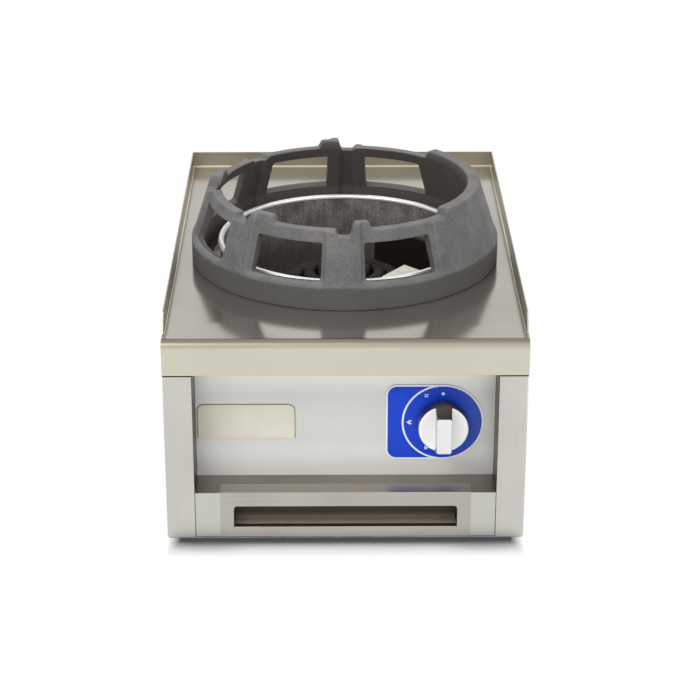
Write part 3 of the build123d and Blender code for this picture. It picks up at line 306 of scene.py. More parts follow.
@dataclass(frozen=True)
class FoldedTop:
    """Work top in one sheet: level top, splash guards, crease, bullnose and front lip."""

    top: str = "#b7b4ac"
    guard: str = "#a39c8d"
    rear: str = "#bfb6a1"
    crease: str = "#7d7665"
    nose: str = "#8a8270"
    lip: str = "#cfcbba"
    level: float = 245 * MM
    front: float = -300 * MM
    roughness: float = 0.15
    dull: float = 0.30

    def material(self, name: str) -> bpy.types.Material:
        """Build the material."""
        g = ShaderGraph(name)
        grain = g.noise(g.coordinates((900.0, 5.0, 900.0)), 1.0, 2.0)
        across = g.noise(g.coordinates((5.0, 900.0, 900.0)), 1.0, 2.0)
        cloud = g.noise(g.coordinates(), 9.0, 3.0)
        height, depth = g.place("Z"), g.place("Y")
        guard = g.between(height, self.level + 0.2 * MM, self.level + 1.0 * MM)
        lip = g.between(height, self.level - 1.0 * MM, self.level - 9.0 * MM)
        nose = g.between(depth, self.front + 9.5 * MM, self.front + 8.0 * MM)
        crease = g.times(g.between(depth, self.front + 11.0 * MM, self.front + 9.5 * MM),
                        g.between(depth, self.front + 6.5 * MM, self.front + 7.5 * MM))
        colour = g.mix(g.times(cloud, 0.35), self.top, self.nose)
        # painted light and shade on the one sheet: darker nose and crease, paler front lip
        colour = g.mix(nose, colour, self.nose)
        colour = g.mix(lip, colour, self.lip)
        colour = g.mix(crease, colour, self.crease)
        # painted light: the upstands take a tone by which way they face
        upstand = g.mix(g.facing(TO_COOK), self.guard, self.rear)
        colour = g.mix(guard, colour, upstand)
        shade = g.blend(cloud, 0.6, across)
        colour = g.mix(g.between(shade, 0.40, 0.75, 0.0, 0.10), colour, "#6f695d")
        dull = g.math("MAXIMUM", guard, nose)
        rough = g.math("ADD", self.roughness, g.times(dull, self.dull - self.roughness))
        g.surface(Base_Color=colour, Metallic=0.86, Roughness=rough, Normal=g.bump(grain, 0.0000015))
        return g.material


@dataclass(frozen=True)
class StainedSteel:
    """Heat-stained wall of the burner well: mottled, with light upright streaks and bright specks that are
    partly stain and partly painted reflection.
    """

    dark: str = "#77716f"
    light: str = "#b3aea9"
    speck: str = "#dad6d0"
    deep: str = "#6d675e"
    black: str = "#2c2620"
    rim: float = 269 * MM
    centre: float = -31.5 * MM
    dark_quarter: tuple[float, float] = (-40.0, 73.8)
    roughness: float = 0.42

    def material(self, name: str) -> bpy.types.Material:
        """Build the material."""
        g = ShaderGraph(name)
        here = g.coordinates()
        streak = g.noise(g.coordinates((330.0, 330.0, 22.0)), 1.0, 3.0, 0.6)
        patch = g.noise(here, 26.0, 4.0, 0.6)
        speck = g.noise(here, 620.0, 2.0, 0.7)
        # light upright streaks and bright specks: partly stain, partly painted reflection
        tone = g.blend(streak, 0.35, patch)
        colour = g.mix(g.between(tone, 0.36, 0.62), self.dark, self.light)
        bright = g.times(g.between(speck, 0.52, 0.64), g.between(tone, 0.44, 0.60))
        colour = g.mix(g.times(bright, 0.85), colour, self.speck)
        dim = g.times(g.between(speck, 0.48, 0.38), 0.45)
        colour = g.mix(dim, colour, self.black)
        height = g.place("Z")
        # painted shade: darker lower down the well
        deep = g.between(height, self.rim - 30 * MM, self.rim - 70 * MM, 0.0, 0.75)
        colour = g.mix(deep, colour, self.deep)
        # near-black quarter behind the pilot, with a sharp edge
        angle = g.math("ARCTAN2", g.math("SUBTRACT", g.place("Y"), self.centre), g.place("X"))
        edges = [math.radians(a) for a in self.dark_quarter]
        darkening = g.times(g.between(angle, edges[1] + 0.012, edges[1]),
                      g.between(angle, edges[0] - 0.2, edges[0] + 0.2))
        darkening = g.times(darkening, g.between(height, self.rim - 42 * MM, self.rim - 48 * MM))
        colour = g.mix(darkening, colour, self.black)
        g.surface(Base_Color=colour, Metallic=0.55, Roughness=self.roughness,
                  Normal=g.bump(speck, 0.00004, 0.6))
        return g.material


@dataclass(frozen=True)
class CastIron:
    """Cast iron with a fine sandy skin, mottled tone and small pits; painted highlight on edges and on faces
    that look up, painted shade on upright faces.
    """

    dark: str
    light: str
    painted_light_tone: str
    inside: str
    upright: str
    highlight_share: float = 0.55
    specular: float = 0.5
    grain: float = 1100.0
    grain_height: float = 0.0004
    roughness: float = 0.60
    metallic: float = 0.25
    axis: tuple[float, float, float] = (0.0, -31.5 * MM, 0.0)

    def material(self, name: str) -> bpy.types.Material:
        """Build the material."""
        g = ShaderGraph(name)
        here = g.coordinates()
        fine = g.noise(here, self.grain, 4.0, 0.65)
        patch = g.noise(here, 30.0, 5.0, 0.62)
        sand = g.noise(here, self.grain * 0.55, 2.0, 0.6)
        tone = g.blend(sand, 0.55, patch)
        body = g.mix(g.between(tone, 0.38, 0.62), self.dark, self.light)
        # painted shade: upright faces darker than those that look up
        lean = g.facing(UP, 0.22, 0.06)
        body = g.mix(g.times(lean, 0.8), body, self.upright)
        # darker on faces turned towards the axis; painted highlight on edges and on faces that look up
        outward = g.vector("MULTIPLY", g.vector("SUBTRACT", here, self.axis), (1.0, 1.0, 0.0))
        darkening = g.between(g.along(g.vector("NORMALIZE", outward)), -0.05, -0.6)
        body = g.mix(g.times(darkening, g.between(patch, 0.3, 0.7, 0.95, 0.70)), body, self.inside)
        # painted highlight on edges and on faces that look up
        edge = g.add("ShaderNodeNewGeometry").outputs["Pointiness"]
        painted_highlight = g.times(g.between(edge, 0.515, 0.575), self.highlight_share)
        top = g.times(g.facing(UP, 0.6, 0.95), self.highlight_share)
        painted_highlight = g.times(g.math("MAXIMUM", painted_highlight, top), g.between(patch, 0.30, 0.60, 0.45, 1.0))
        colour = g.mix(painted_highlight, body, self.painted_light_tone)
        pits = g.add("ShaderNodeTexVoronoi", {"Vector": here, "Scale": 60.0}).outputs["Distance"]
        pit = g.times(g.between(pits, 0.10, 0.05), g.between(g.noise(here, 17.0, 1.0), 0.60, 0.66))
        colour = g.mix(g.times(pit, 0.6), colour, self.inside)
        relief = g.bump(g.noise(here, 150.0, 3.0), 0.0005, 0.45)
        g.surface(Base_Color=colour, Metallic=self.metallic, Roughness=self.roughness,
                  Specular_IOR_Level=self.specular, Normal=g.bump(fine, self.grain_height, 0.8, relief))
        return g.material


@dataclass(frozen=True)
class SilverCap:
    """Silvered knob: bright satin face, a painted dark reflection where it looks up, paler sides, painted
    shade on the grip's face.
    """

    face: str = "#ffffff"
    painted_light_tone: str = "#dde0e1"
    top: str = "#6d675f"
    side: str = "#e0deda"
    grip: float = -292 * MM

    def material(self, name: str) -> bpy.types.Material:
        """Build the material."""
        g = ShaderGraph(name)
        front = g.facing(TO_COOK, 0.60, 0.85)
        above = g.facing(UP, 0.25, 0.55)
        cloud = g.noise(g.coordinates(), 40.0, 3.0)
        fine = g.noise(g.coordinates(), 1500.0, 2.0)
        # painted reflection: dark tone where the sides look up
        side = g.mix(above, self.side, self.top)
        side = g.mix(g.between(cloud, 0.45, 0.75, 0.0, 0.4), side, "#8d877f")
        face = g.mix(g.between(cloud, 0.35, 0.65, 0.0, 0.35), self.face, "#e9ebf0")
        # painted shade: the grip's face is toned down
        face = g.mix(g.between(g.place("Y"), self.grip + 4 * MM, self.grip), face, self.painted_light_tone)
        g.surface(Base_Color=g.mix(front, side, face), Roughness=g.between(front, 0.0, 1.0, 0.28, 0.5),
                  Metallic=g.between(front, 0.0, 1.0, 0.85, 0.0), Normal=g.bump(fine, 0.00001))
        return g.material


@dataclass(frozen=True)
class Paint:
    """Painted, printed or moulded surface with a slight unevenness."""

    colour: str
    deep: str
    roughness: float = 0.4
    scale: float = 60.0
    metallic: float = 0.0
    relief: float = 0.00002
    specular: float = 0.5
    faded: str = ""
    fade: tuple[float, float] = (0.0, 1.0)

    def material(self, name: str) -> bpy.types.Material:
        """Build the material."""
        g = ShaderGraph(name)
        cloud = g.noise(g.coordinates(), self.scale, 3.0)
        fine = g.noise(g.coordinates(), self.scale * 25.0, 2.0)
        colour = g.mix(g.between(cloud, 0.35, 0.65), self.deep, self.colour)
        if self.faded:
            colour = g.mix(g.between(g.place("X"), *self.fade), colour, self.faded)
        rough = g.between(fine, 0.3, 0.7, self.roughness * 0.9, self.roughness * 1.1)
        g.surface(Base_Color=colour, Metallic=self.metallic, Roughness=rough,
                  Specular_IOR_Level=self.specular, Normal=g.bump(fine, self.relief))
        return g.material


class Finish(Enum):
    """Every finish on the range, with its material slot and its look."""

    WORK_TOP = ("ground_steel", FoldedTop())
    # painted highlight: the bends and the slot's bead are paler than the sheet
    FOLD_HIGHLIGHT = ("ground_steel", Steel("#ded8c2", "#cfc8b0", 0.35))
    # painted light: paler colour at the panel's top and bottom
    PANEL = ("panel_steel", Steel("#dadad6", "#d3d3cf", 0.36, metallic=0.35, painted_end_light="#fbfbf7",
                                  painted_light_heights=(66 * MM, 108 * MM, 160 * MM, 188 * MM)))
    # painted shade: dark inward faces and a painted shadow line across the post
    POST = ("panel_steel", Steel("#cdccc5", "#c5c3bb", 0.34, BRUSHED_UPRIGHT, painted_inner_shade="#34312d",
                                 shadow_line=(202.9 * MM, 204.9 * MM)))
    DRAWER = ("panel_steel", Steel("#c9c9c3", "#c1c1ba", 0.34))
    # painted shade: the handle's faces that look up are darker
    HANDLE = ("panel_steel", Steel("#bab6ad", "#afaba2", 0.30, painted_top_tone="#959087"))
    LEDGE = ("panel_steel", Steel("#857e77", "#6f6963", 0.30, (900.0, 900.0, 900.0)))
    GALVANISED = ("galvanised", Steel("#b9bcbd", "#9a9d9e", 0.45, (220.0, 220.0, 220.0), 0.00001, 40.0))
    DRIP_PAN = ("galvanised", Steel("#978c7f", "#7c7267", 0.45, (220.0, 6.0, 220.0), 0.00001, 30.0))
    # painted shade: dark tone of the sheet inside the slot, with painted light on its faces that look up
    FINGER_TRAY = ("galvanised", Steel("#4f4840", "#474038", 0.45, (6.0, 300.0, 300.0), metallic=0.3,
                                       painted_top_tone="#b4a896"))
    WELL = ("well_steel", StainedSteel())
    RIM = ("rim_chrome", Steel("#ffffff", "#fbfbfa", 0.34, (200.0, 200.0, 200.0), 0.000001, metallic=0.55))
    # cast iron: the third colour is a painted highlight, the fifth painted shade on upright faces
    RING = ("cast_grey", CastIron("#585756", "#747372", "#908e8d", "#5a5450", "#575553", roughness=0.72))
    BURNER = ("burner_iron", CastIron("#131110", "#211f1d", "#77736e", "#110f0e", "#12100f", 0.28, 0.1, 800.0,
                                      0.0002, metallic=0.0))
    BRASS = ("brass", Steel("#c9a14e", "#a27c36", 0.28, SOFT_METAL, 0.000004, 60.0))
    COPPER = ("copper", Steel("#c0764a", "#9b5836", 0.30, SOFT_METAL, 0.000004, 60.0))
    ZINC = ("zinc", Steel("#c4c6c6", "#a9abac", 0.33, DRAWN, 0.000004, 80.0))
    SPRING = ("spring_steel", Steel("#9a9c9e", "#7d7f82", 0.3, DRAWN, 0.000004, 80.0))
    SHIELD = ("rim_chrome", Steel("#efeed9", "#d8d7c2", 0.42, DRAWN, 0.000006, 70.0, 0.5))
    KNOB = ("knob_silver", SilverCap())
    DIAL = ("dial_blue", Paint("#1c4cde", "#1a45cf", 0.38, 24.0, specular=0.18, faded="#3d5cc2",
                               fade=(115 * MM, 150 * MM)))
    MARK = ("dial_blue", Paint("#fbfcff", "#f4f6fa", 0.45, 80.0))
    PLATE = ("plate_cream", Paint("#e4e0ce", "#dedac8", 0.35, 30.0, 0.1))
    PLATE_EDGE = ("plate_cream", Paint("#77736a", "#666259", 0.5, 60.0))
    RUBBER = ("rubber", Paint("#2b2a29", "#1f1e1d", 0.75, 90.0, 0.0, 0.0001))
    ALUMINIUM = ("aluminium", Steel("#c6c8ca", "#aeb0b3", 0.3, DRAWN, 0.000004, 80.0))

    @property
    def slot(self) -> str:
        """The record's material slot."""
        return self.value[0]

    @property
    def look(self):
        """The dataclass that builds the material."""
        return self.value[1]


class Palette:
    """Materials, each built once."""

    def __init__(self) -> None:
        self._made: dict[Finish, bpy.types.Material] = {}

    def __getitem__(self, finish: Finish) -> bpy.types.Material:
        if finish not in self._made:
            self._made[finish] = finish.look.material(finish.name.lower())
        return self._made[finish]


# ---------------------------------------------------------------- pieces
def placed(name: str, data: bpy.types.ID) -> bpy.types.Object:
    """A new object in the scene that shows some data."""
    shown = bpy.data.objects.new(name, data)
    bpy.context.scene.collection.objects.link(shown)
    return shown


class Workshop:
    """Makes pieces and fastens them to the frame's bodies."""

    def __init__(self, frame: dict) -> None:
        self.nodes = frame["nodes"]
        self.palette = Palette()

    def add(self, name: str, mesh: bpy.types.Mesh, finish: Finish, body: str,
            replaces: Iterable[str] = ()) -> bpy.types.Object:
        """Show a finished mesh as a piece that rides on a body.

        Args:
            name: Piece name.
            mesh: Mesh in frame coordinates.
            finish: Its finish.
            body: CAD body it moves with.
            replaces: CAD nodes it stands for.

        Returns:
            The new object.
        """
        mesh.materials.clear()
        mesh.materials.append(self.palette[finish])
        piece = placed(name, mesh)
        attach(piece, body)
        finish.slot
        for node in replaces:
            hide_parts(node)
        return piece

    def clad(self, node: str, finish: Finish, bevel: float = 0.0) -> bpy.types.Object:
        """Stand a merged, smooth-shaded copy in for a CAD node.

        Args:
            node: CAD node name.
            finish: Finish of the copy.
            bevel: Width of rounded edges, 0 for none.

        Returns:
            The new object.
        """
        source = self.nodes[node]
        mesh = source.data.copy()
        if "custom_normal" in mesh.attributes:
            mesh.attributes.remove(mesh.attributes["custom_normal"])
        crisp(mesh, CAD_REACH, FLAT_ANGLE)
        piece = self.add(f"{node}_skin", mesh, finish, source["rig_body"], (node,))
        if bevel:
            rounding = piece.modifiers.new("edge", "BEVEL")
            rounding.width = bevel
            rounding.segments = BEVEL_STEPS
            rounding.limit_method = "ANGLE"
            rounding.angle_limit = SMOOTH_ANGLE
            rounding.harden_normals = True
        return piece

    def clad_all(self, finishes: dict[str, Finish]) -> None:
        """Stand plain copies in for several CAD nodes."""
        for node, finish in finishes.items():
            self.clad(node, finish)


def mesh_from(name: str, points: np.ndarray, faces: Sequence[Sequence[int]]) -> bpy.types.Mesh:
    """A smooth-shaded mesh from points and faces."""
    mesh = bpy.data.meshes.new(name)
    mesh.from_pydata([tuple(p) for p in points], [], faces)
    mesh.polygons.foreach_set("use_smooth", [True] * len(mesh.polygons))
    mesh.update()
    return mesh


def crisp(mesh: bpy.types.Mesh, reach: float = 1e-6, flat: float = 0.0) -> bpy.types.Mesh:
    """Merge doubled points, turn faces outward and shade smooth up to the sharp edges.

    Args:
        mesh: Mesh to change.
        reach: Points closer than this become one.
        flat: Faces that differ by less than this angle become one; 0 keeps them all.

    Returns:
        The same mesh.
    """
    bm = bmesh.new()
    bm.from_mesh(mesh)
    bmesh.ops.remove_doubles(bm, verts=bm.verts, dist=reach)
    if flat:
        bmesh.ops.dissolve_limit(bm, angle_limit=flat, verts=bm.verts, edges=bm.edges)
    bmesh.ops.recalc_face_normals(bm, faces=bm.faces)
    for face in bm.faces:
        face.smooth = True
    for edge in bm.edges:
        edge.smooth = len(edge.link_faces) == 2 and edge.calc_face_angle(0.0) < SMOOTH_ANGLE
    bm.to_mesh(mesh)
    bm.free()
    return mesh


def turned(name: str, profile: Outline, place: Matrix, steps: int = 192) -> bpy.types.Mesh:
    """A closed outline turned about the local Z axis.

    Args:
        name: Mesh name.
        profile: (radius, height) corners of the closed cross-section, in metres.
        place: Where the local axes lie.
        steps: Columns round the axis.

    Returns:
        The mesh in frame coordinates.
    """
    turn = np.linspace(0.0, 2 * math.pi, steps, endpoint=False)
    rows = [np.stack([r * np.cos(turn), r * np.sin(turn), np.full(steps, z)], 1) for r, z in profile]
    count = len(profile)
    faces = [(r * steps + c, r * steps + (c + 1) % steps, (r + 1) % count * steps + (c + 1) % steps,
              (r + 1) % count * steps + c) for r in range(count) for c in range(steps)]
    mesh = mesh_from(name, np.concatenate(rows), faces)
    mesh.transform(place)
    return crisp(mesh)


def stacked(name: str, loops: Sequence[Loop], place: Matrix = UNMOVED, ring: bool = False) -> bpy.types.Mesh:
    """Outlines with equal numbers of points, joined one to the next.

    Args:
        name: Mesh name.
        loops: Outlines in local coordinates.
        place: Where the local axes lie.
        ring: Join the last outline to the first, instead of capping both.

    Returns:
        The mesh in frame coordinates.
    """
    width = len(loops[0])
    points = np.concatenate([np.array(loop, float) for loop in loops])
    pairs = list(zip(range(len(loops)), range(1, len(loops)))) + ([(len(loops) - 1, 0)] if ring else [])
    faces: list[tuple[int, ...]] = [(a * width + i, a * width + (i + 1) % width, b * width + (i + 1) % width,
                                     b * width + i) for a, b in pairs for i in range(width)]
    if not ring:
        faces.append(tuple(range(width)))
        faces.append(tuple((len(loops) - 1) * width + i for i in range(width)))
    mesh = mesh_from(name, points, faces)
    mesh.transform(place)
    return crisp(mesh)


def joined(name: str, meshes: Iterable[bpy.types.Mesh]) -> bpy.types.Mesh:
    """Several meshes as one."""
    bm = bmesh.new()
    for mesh in meshes:
        bm.from_mesh(mesh)
    result = bpy.data.meshes.new(name)
    bm.to_mesh(result)
    bm.free()
    return crisp(result)


def facing_cook(x: float, y: float, z: float) -> Matrix:
    """Local X to the right, Y up and Z towards the cook."""
    return Matrix.Translation((x, y, z)) @ Matrix.Rotation(math.radians(90), 4, "X")


def arc(x: float, y: float, radius: float, start: float, end: float, steps: int) -> list[tuple[float, float]]:
    """Points along an arc, in degrees."""
    return [(x + radius * math.cos(math.radians(a)), y + radius * math.sin(math.radians(a)))
            for a in np.linspace(start, end, steps)]


def slab(outline: Outline, low: float, high: float) -> list[Loop]:
    """A flat outline as two loops, low and high."""
    return [[(x, y, z) for x, y in outline] for z in (low, high)]


def band(outer: Outline, inner: Outline, low: float, high: float) -> list[Loop]:
    """The strip between two outlines, as four loops for a ring."""
    return slab(outer, low, high) + slab(inner, high, low)


class Repeater:
    """Geometry Nodes group that repeats an object's own mesh by steps of place and turn."""

    def __init__(self) -> None:
        self.tree = bpy.data.node_groups.new("repeat_piece", "GeometryNodeTree")
        sockets = {
            "Geometry": "NodeSocketGeometry", "Count": "NodeSocketInt", "Step": "NodeSocketVector",
            "Turn": "NodeSocketVector", "Unevenness": "NodeSocketFloat", "Seed": "NodeSocketInt",
            "Finish": "NodeSocketMaterial",
        }
        self.identifiers = {
            name: self.tree.interface.new_socket(name, in_out="INPUT", socket_type=kind).identifier
            for name, kind in sockets.items()
        }
        self.tree.interface.new_socket("Geometry", in_out="OUTPUT", socket_type="NodeSocketGeometry")
        self.wire()

    def wire(self) -> None:
        """Make the nodes and their links; a text source is one of the group's own inputs."""
        def node(kind: str, **settings) -> bpy.types.Node:
            """A new node with its properties set."""
            made = self.tree.nodes.new(kind)
            for key, value in settings.items():
                setattr(made, key, value)
            return made

        given, index = node("NodeGroupInput"), node("GeometryNodeInputIndex")
        points = node("GeometryNodePoints")
        place = node("ShaderNodeVectorMath", operation="SCALE")
        turn = node("ShaderNodeVectorMath", operation="SCALE")
        least = node("ShaderNodeMath", operation="SUBTRACT")
        least.inputs[0].default_value = 1.0
        uneven = node("FunctionNodeRandomValue", data_type="FLOAT")
        smallest, largest = [s for s in uneven.inputs if s.enabled and s.type == "VALUE"][:2]
        largest.default_value = 1.0
        drawn = next(s for s in uneven.outputs if s.enabled)
        copies, real = node("GeometryNodeInstanceOnPoints"), node("GeometryNodeRealizeInstances")
        finish, result = node("GeometryNodeSetMaterial"), node("NodeGroupOutput")
        for source, target in (
                ("Step", place.inputs[0]), (index, place.inputs["Scale"]), ("Turn", turn.inputs[0]),
                (index, turn.inputs["Scale"]), ("Count", points.inputs["Count"]),
                (place, points.inputs["Position"]), ("Unevenness", least.inputs[1]), (least, smallest),
                ("Seed", uneven.inputs["Seed"]), (points, copies.inputs["Points"]),
                ("Geometry", copies.inputs["Instance"]), (turn, copies.inputs["Rotation"]),
                (copies, real.inputs[0]), (real, finish.inputs["Geometry"]),
                ("Finish", finish.inputs["Material"]), (finish, result.inputs[0])):
            output = given.outputs[source] if isinstance(source, str) else source.outputs[0]
            self.tree.links.new(output, target)
        self.tree.links.new(drawn, copies.inputs["Scale"])

    def repeat(self, mesh: bpy.types.Mesh, count: int, finish: bpy.types.Material,
               step: Sequence[float] = (0, 0, 0), turn: Sequence[float] = (0, 0, 0),
               unevenness: float = 0.0, seed: int = 7) -> bpy.types.Mesh:
        """The mesh repeated count times, as one real mesh.

        Args:
            mesh: What repeats, about the local origin.
            count: How many.
            finish: Material of the copies.
            step: Move from one to the next.
            turn: Turn from one to the next, in radians.
            unevenness: The smallest copy is this much smaller than the largest.
            seed: Seed of that difference.

        Returns:
            A new mesh.
        """
        piece = placed(f"{mesh.name}_pattern", mesh)
        pattern = piece.modifiers.new("pattern", "NODES")
        pattern.node_group = self.tree
        values = {"Count": count, "Step": step, "Turn": turn, "Unevenness": unevenness, "Seed": seed,
                  "Finish": finish}
        for name, value in values.items():
            pattern[self.identifiers[name]] = value
        piece.update_tag()
        shown = piece.evaluated_get(bpy.context.evaluated_depsgraph_get())
        result = bpy.data.meshes.new_from_object(shown)
        piece.modifiers.remove(pattern)
        bpy.data.objects.remove(piece)
        return result


# ---------------------------------------------------------------- cast wok ring
@dataclass(frozen=True)
class RingShape:
    """Sizes of the wok ring, above the work surface and from its axis."""

    foot_radius: float = 181.7 * MM
    shoulder_radius: float = 179 * MM
    top_radius: float = 161.6 * MM
    mouth_radius: float = 144.5 * MM
    foot_wall: float = 14.5 * MM
    band: float = 28.5 * MM
    shoulder: float = 32.5 * MM
    rim: float = 86 * MM
    sill: float = 33.4 * MM
    sill_fall: float = 5 * MM
    head: float = 72.5 * MM
    bay_depth: float = 5.5 * MM
    bay_arc: float = 30.8
    bay_slope: float = 1.2
    window_arc: float = 28.4
    first_post: float = 269.0
    pitch: float = 45.0
    flute_depth: float = 5 * MM
    flute_half: float = 2.7
    lug_rise: float = 9 * MM
    notch_fall: float = 5.5 * MM
    end_slope: float = 0.7
    lugs: tuple[tuple[float, float], ...] = ((272.8, 7.6), (227.5, 10.5), (165.4, 10.6), (92.0, 9.2))
    notches: tuple[tuple[float, float], ...] = ((266.4, 6.4), (217.3, 8.5), (176.0, 8.6), (129.8, 8.5),
                                                (85.4, 6.4))
    raised_wall: tuple[float, float] = (316.0, 90.0)

    @property
    def windows(self) -> list[float]:
        """Middle angle of each window."""
        return [self.first_post + self.pitch / 2 - self.pitch * step for step in range(6)]

    @property
    def posts(self) -> list[float]:
        """Angle of each post."""
        return [self.first_post - self.pitch * step for step in range(5)]


class WokRing:
    """The loose cast ring, as one closed grid of angle by cross-section."""

    COLUMNS = 720
    FOOT_ROWS = 22
    WINDOW_ROWS = 20
    HEAD_ROWS = 13
    TOP_ROWS = 11
    BASE_ROWS = 6
    REVEAL_ROWS = 9
    PASSES = 4

    def __init__(self, shape: RingShape, centre: Vector, base: float) -> None:
        self.shape = shape
        self.centre = centre
        self.base = base
        self.angles = np.linspace(0.0, 360.0, self.COLUMNS, endpoint=False)

    def span(self, start: float, arc: float, slope: float) -> np.ndarray:
        """1 inside an arc and 0 outside it, with sloping ends."""
        off = np.abs((self.angles - (start + arc / 2) + 180.0) % 360.0 - 180.0)
        return 1.0 - smoothstep(off, arc / 2 - slope / 2, arc / 2 + slope / 2)

    def crest(self) -> np.ndarray:
        """Height of the rim at each angle."""
        s = self.shape
        height = np.full(self.COLUMNS, s.rim)
        for start, arc in (*s.lugs, s.raised_wall):
            height = np.maximum(height, s.rim + s.lug_rise * self.span(start, arc, s.end_slope))
        for start, arc in s.notches:
            height = height - (height - s.rim + s.notch_fall) * self.span(start, arc, s.end_slope)
        return height

    def bays(self) -> np.ndarray:
        """1 where the outside stands back between the posts."""
        s = self.shape
        return np.max([self.span(c - s.bay_arc / 2, s.bay_arc, s.bay_slope) for c in s.windows], axis=0)

    def flutes(self) -> np.ndarray:
        """1 along the flute inside each post."""
        s = self.shape
        return np.max([self.span(a - s.flute_half, 2 * s.flute_half, 1.0) for a in s.posts], axis=0)

    def outer(self, z: np.ndarray, bays: np.ndarray) -> np.ndarray:
        """Outer radius at a height: band, shoulder, leaning post, and the bays set back."""
        s = self.shape
        heights = [0.0, s.band, s.shoulder, s.rim, s.rim + s.lug_rise]
        slope = (s.shoulder_radius - s.top_radius) / (s.rim - s.shoulder)
        above = s.top_radius - slope * s.lug_rise
        post = np.interp(z, heights, [s.foot_radius, s.foot_radius, s.shoulder_radius, s.top_radius, above])
        at_sill = s.shoulder_radius - slope * (s.sill - s.shoulder) - s.bay_depth
        slope_foot = np.interp(z, [s.band, s.sill], [s.foot_radius, at_sill])
        bay = np.where(z < s.sill, slope_foot, post - s.bay_depth)
        return post + (bay - post) * bays

    def inner(self, z: np.ndarray, flutes: np.ndarray) -> np.ndarray:
        """Inner radius at a height."""
        s = self.shape
        foot = s.foot_radius - s.foot_wall
        slope = (foot - s.mouth_radius) / (s.rim - s.band)
        fall = np.minimum(np.maximum(0.0, z - s.band), s.rim - s.band) * slope
        return foot - fall + s.flute_depth * flutes

    def inner_height(self, z: np.ndarray) -> np.ndarray:
        """Height inside that belongs to a height outside."""
        s = self.shape
        lowered = np.interp(z, [0.0, s.sill, s.head], [0.0, s.sill - s.sill_fall, s.head])
        return np.where(z < s.head, lowered, z)

    def mesh(self) -> bpy.types.Mesh:
        """Build the casting."""
        s = self.shape
        crest, bays, flutes = self.crest(), self.bays(), self.flutes()
        low = np.linspace(0, s.sill, self.FOOT_ROWS, endpoint=False)
        mid = np.linspace(s.sill, s.head, self.WINDOW_ROWS, endpoint=False)
        share = np.linspace(0, 1, self.HEAD_ROWS)
        side = [np.full(self.COLUMNS, z) for z in (*low, *mid)]
        side += [s.head + t * (crest - s.head) for t in share]
        rows = [(self.outer(z, bays), z) for z in side]
        top_out, top_in = self.outer(crest, bays), self.inner(crest, flutes)
        for t in steps_between(self.TOP_ROWS):
            rows.append((top_out + t * (top_in - top_out), crest))
        # the sills of the windows fall towards the inside
        rows += [(self.inner(z, flutes), z) for z in (self.inner_height(row) for row in reversed(side))]
        base_in, base_out = rows[-1][0], rows[0][0]
        for t in steps_between(self.BASE_ROWS):
            rows.append((base_in + t * (base_out - base_in), np.zeros(self.COLUMNS)))
        radius = np.array([r for r, _ in rows])
        height = np.array([z for _, z in rows])
        turn = np.radians(self.angles)
        grid = np.stack([radius * np.cos(turn), radius * np.sin(turn), height], axis=-1)
        points, faces = self.cut_windows(grid, len(side))
        points = relax(points, faces, self.PASSES)
        points += np.array([self.centre.x, self.centre.y, self.base])
        points[:, 2] = np.maximum(points[:, 2], self.base)
        return mesh_from("wok_ring_casting", points, faces)

    def cut_windows(self, grid: np.ndarray, side_rows: int) -> tuple[np.ndarray, list[tuple[int, ...]]]:
        """Faces of the grid with each window cut through and its reveal closed.

        Args:
            grid: Points, rows by columns by three.
            side_rows: Rows on the outer side; the inner side has as many, in reverse.

        Returns:
            The points, with the reveals' points appended, and all faces.
        """
        rows, cols = grid.shape[:2]
        points = [grid.reshape(-1, 3)]
        count = rows * cols
        sill, head = self.FOOT_ROWS, self.FOOT_ROWS + self.WINDOW_ROWS
        mirror = 2 * side_rows + self.TOP_ROWS - 1
        half = self.shape.window_arc / 2
        step = 360.0 / cols
        open_columns: set[int] = set()
        faces: list[tuple[int, ...]] = []
        for centre in self.shape.windows:
            first, last = round((centre - half) / step), round((centre + half) / step)
            open_columns.update(c % cols for c in range(first, last))
            loop = [(sill, c) for c in range(first, last)] + [(r, last) for r in range(sill, head)]
            loop += [(head, c) for c in range(last, first, -1)] + [(r, first) for r in range(head, sill, -1)]
            outside = np.array([grid[r, c % cols] for r, c in loop])
            inside = np.array([grid[mirror - r, c % cols] for r, c in loop])
            rings = [[r * cols + c % cols for r, c in loop]]
            for t in steps_between(self.REVEAL_ROWS):
                points.append(outside + t * (inside - outside))
                rings.append(list(range(count, count + len(loop))))
                count += len(loop)
            rings.append([(mirror - r) * cols + c % cols for r, c in loop])
            for near, far in zip(rings, rings[1:]):
                for i in range(len(loop)):
                    j = (i + 1) % len(loop)
                    faces.append((near[i], far[i], far[j], near[j]))
        window_rows = set(range(sill, head)) | set(range(mirror - head, mirror - sill))
        for r in range(rows):
            for c in range(cols):
                if r in window_rows and c in open_columns:
                    continue
                up, right = (r + 1) % rows, (c + 1) % cols
                faces.append((r * cols + c, r * cols + right, up * cols + right, up * cols + c))
        return np.concatenate(points), faces


def steps_between(count: int) -> np.ndarray:
    """Shares from 0 to 1 without the ends, evenly spaced."""
    return np.linspace(0, 1, count + 2)[1:-1]


def relax(points: np.ndarray, faces: Sequence[Sequence[int]], passes: int) -> np.ndarray:
    """Round a dense mesh by averaging each point with its neighbours."""
    quads = np.array(faces)
    ends = np.concatenate([quads[:, [i, (i + 1) % 4]] for i in range(4)])
    ends = np.concatenate([ends, ends[:, ::-1]])
    degree = np.bincount(ends[:, 0], minlength=len(points))
    for _ in range(passes):
        total = np.stack([np.bincount(ends[:, 0], points[ends[:, 1], k], len(points)) for k in range(3)], 1)
        near = total / np.maximum(degree, 1)[:, None]
        points = np.where(degree[:, None] > 0, 0.5 * (points + near), points)
    return points


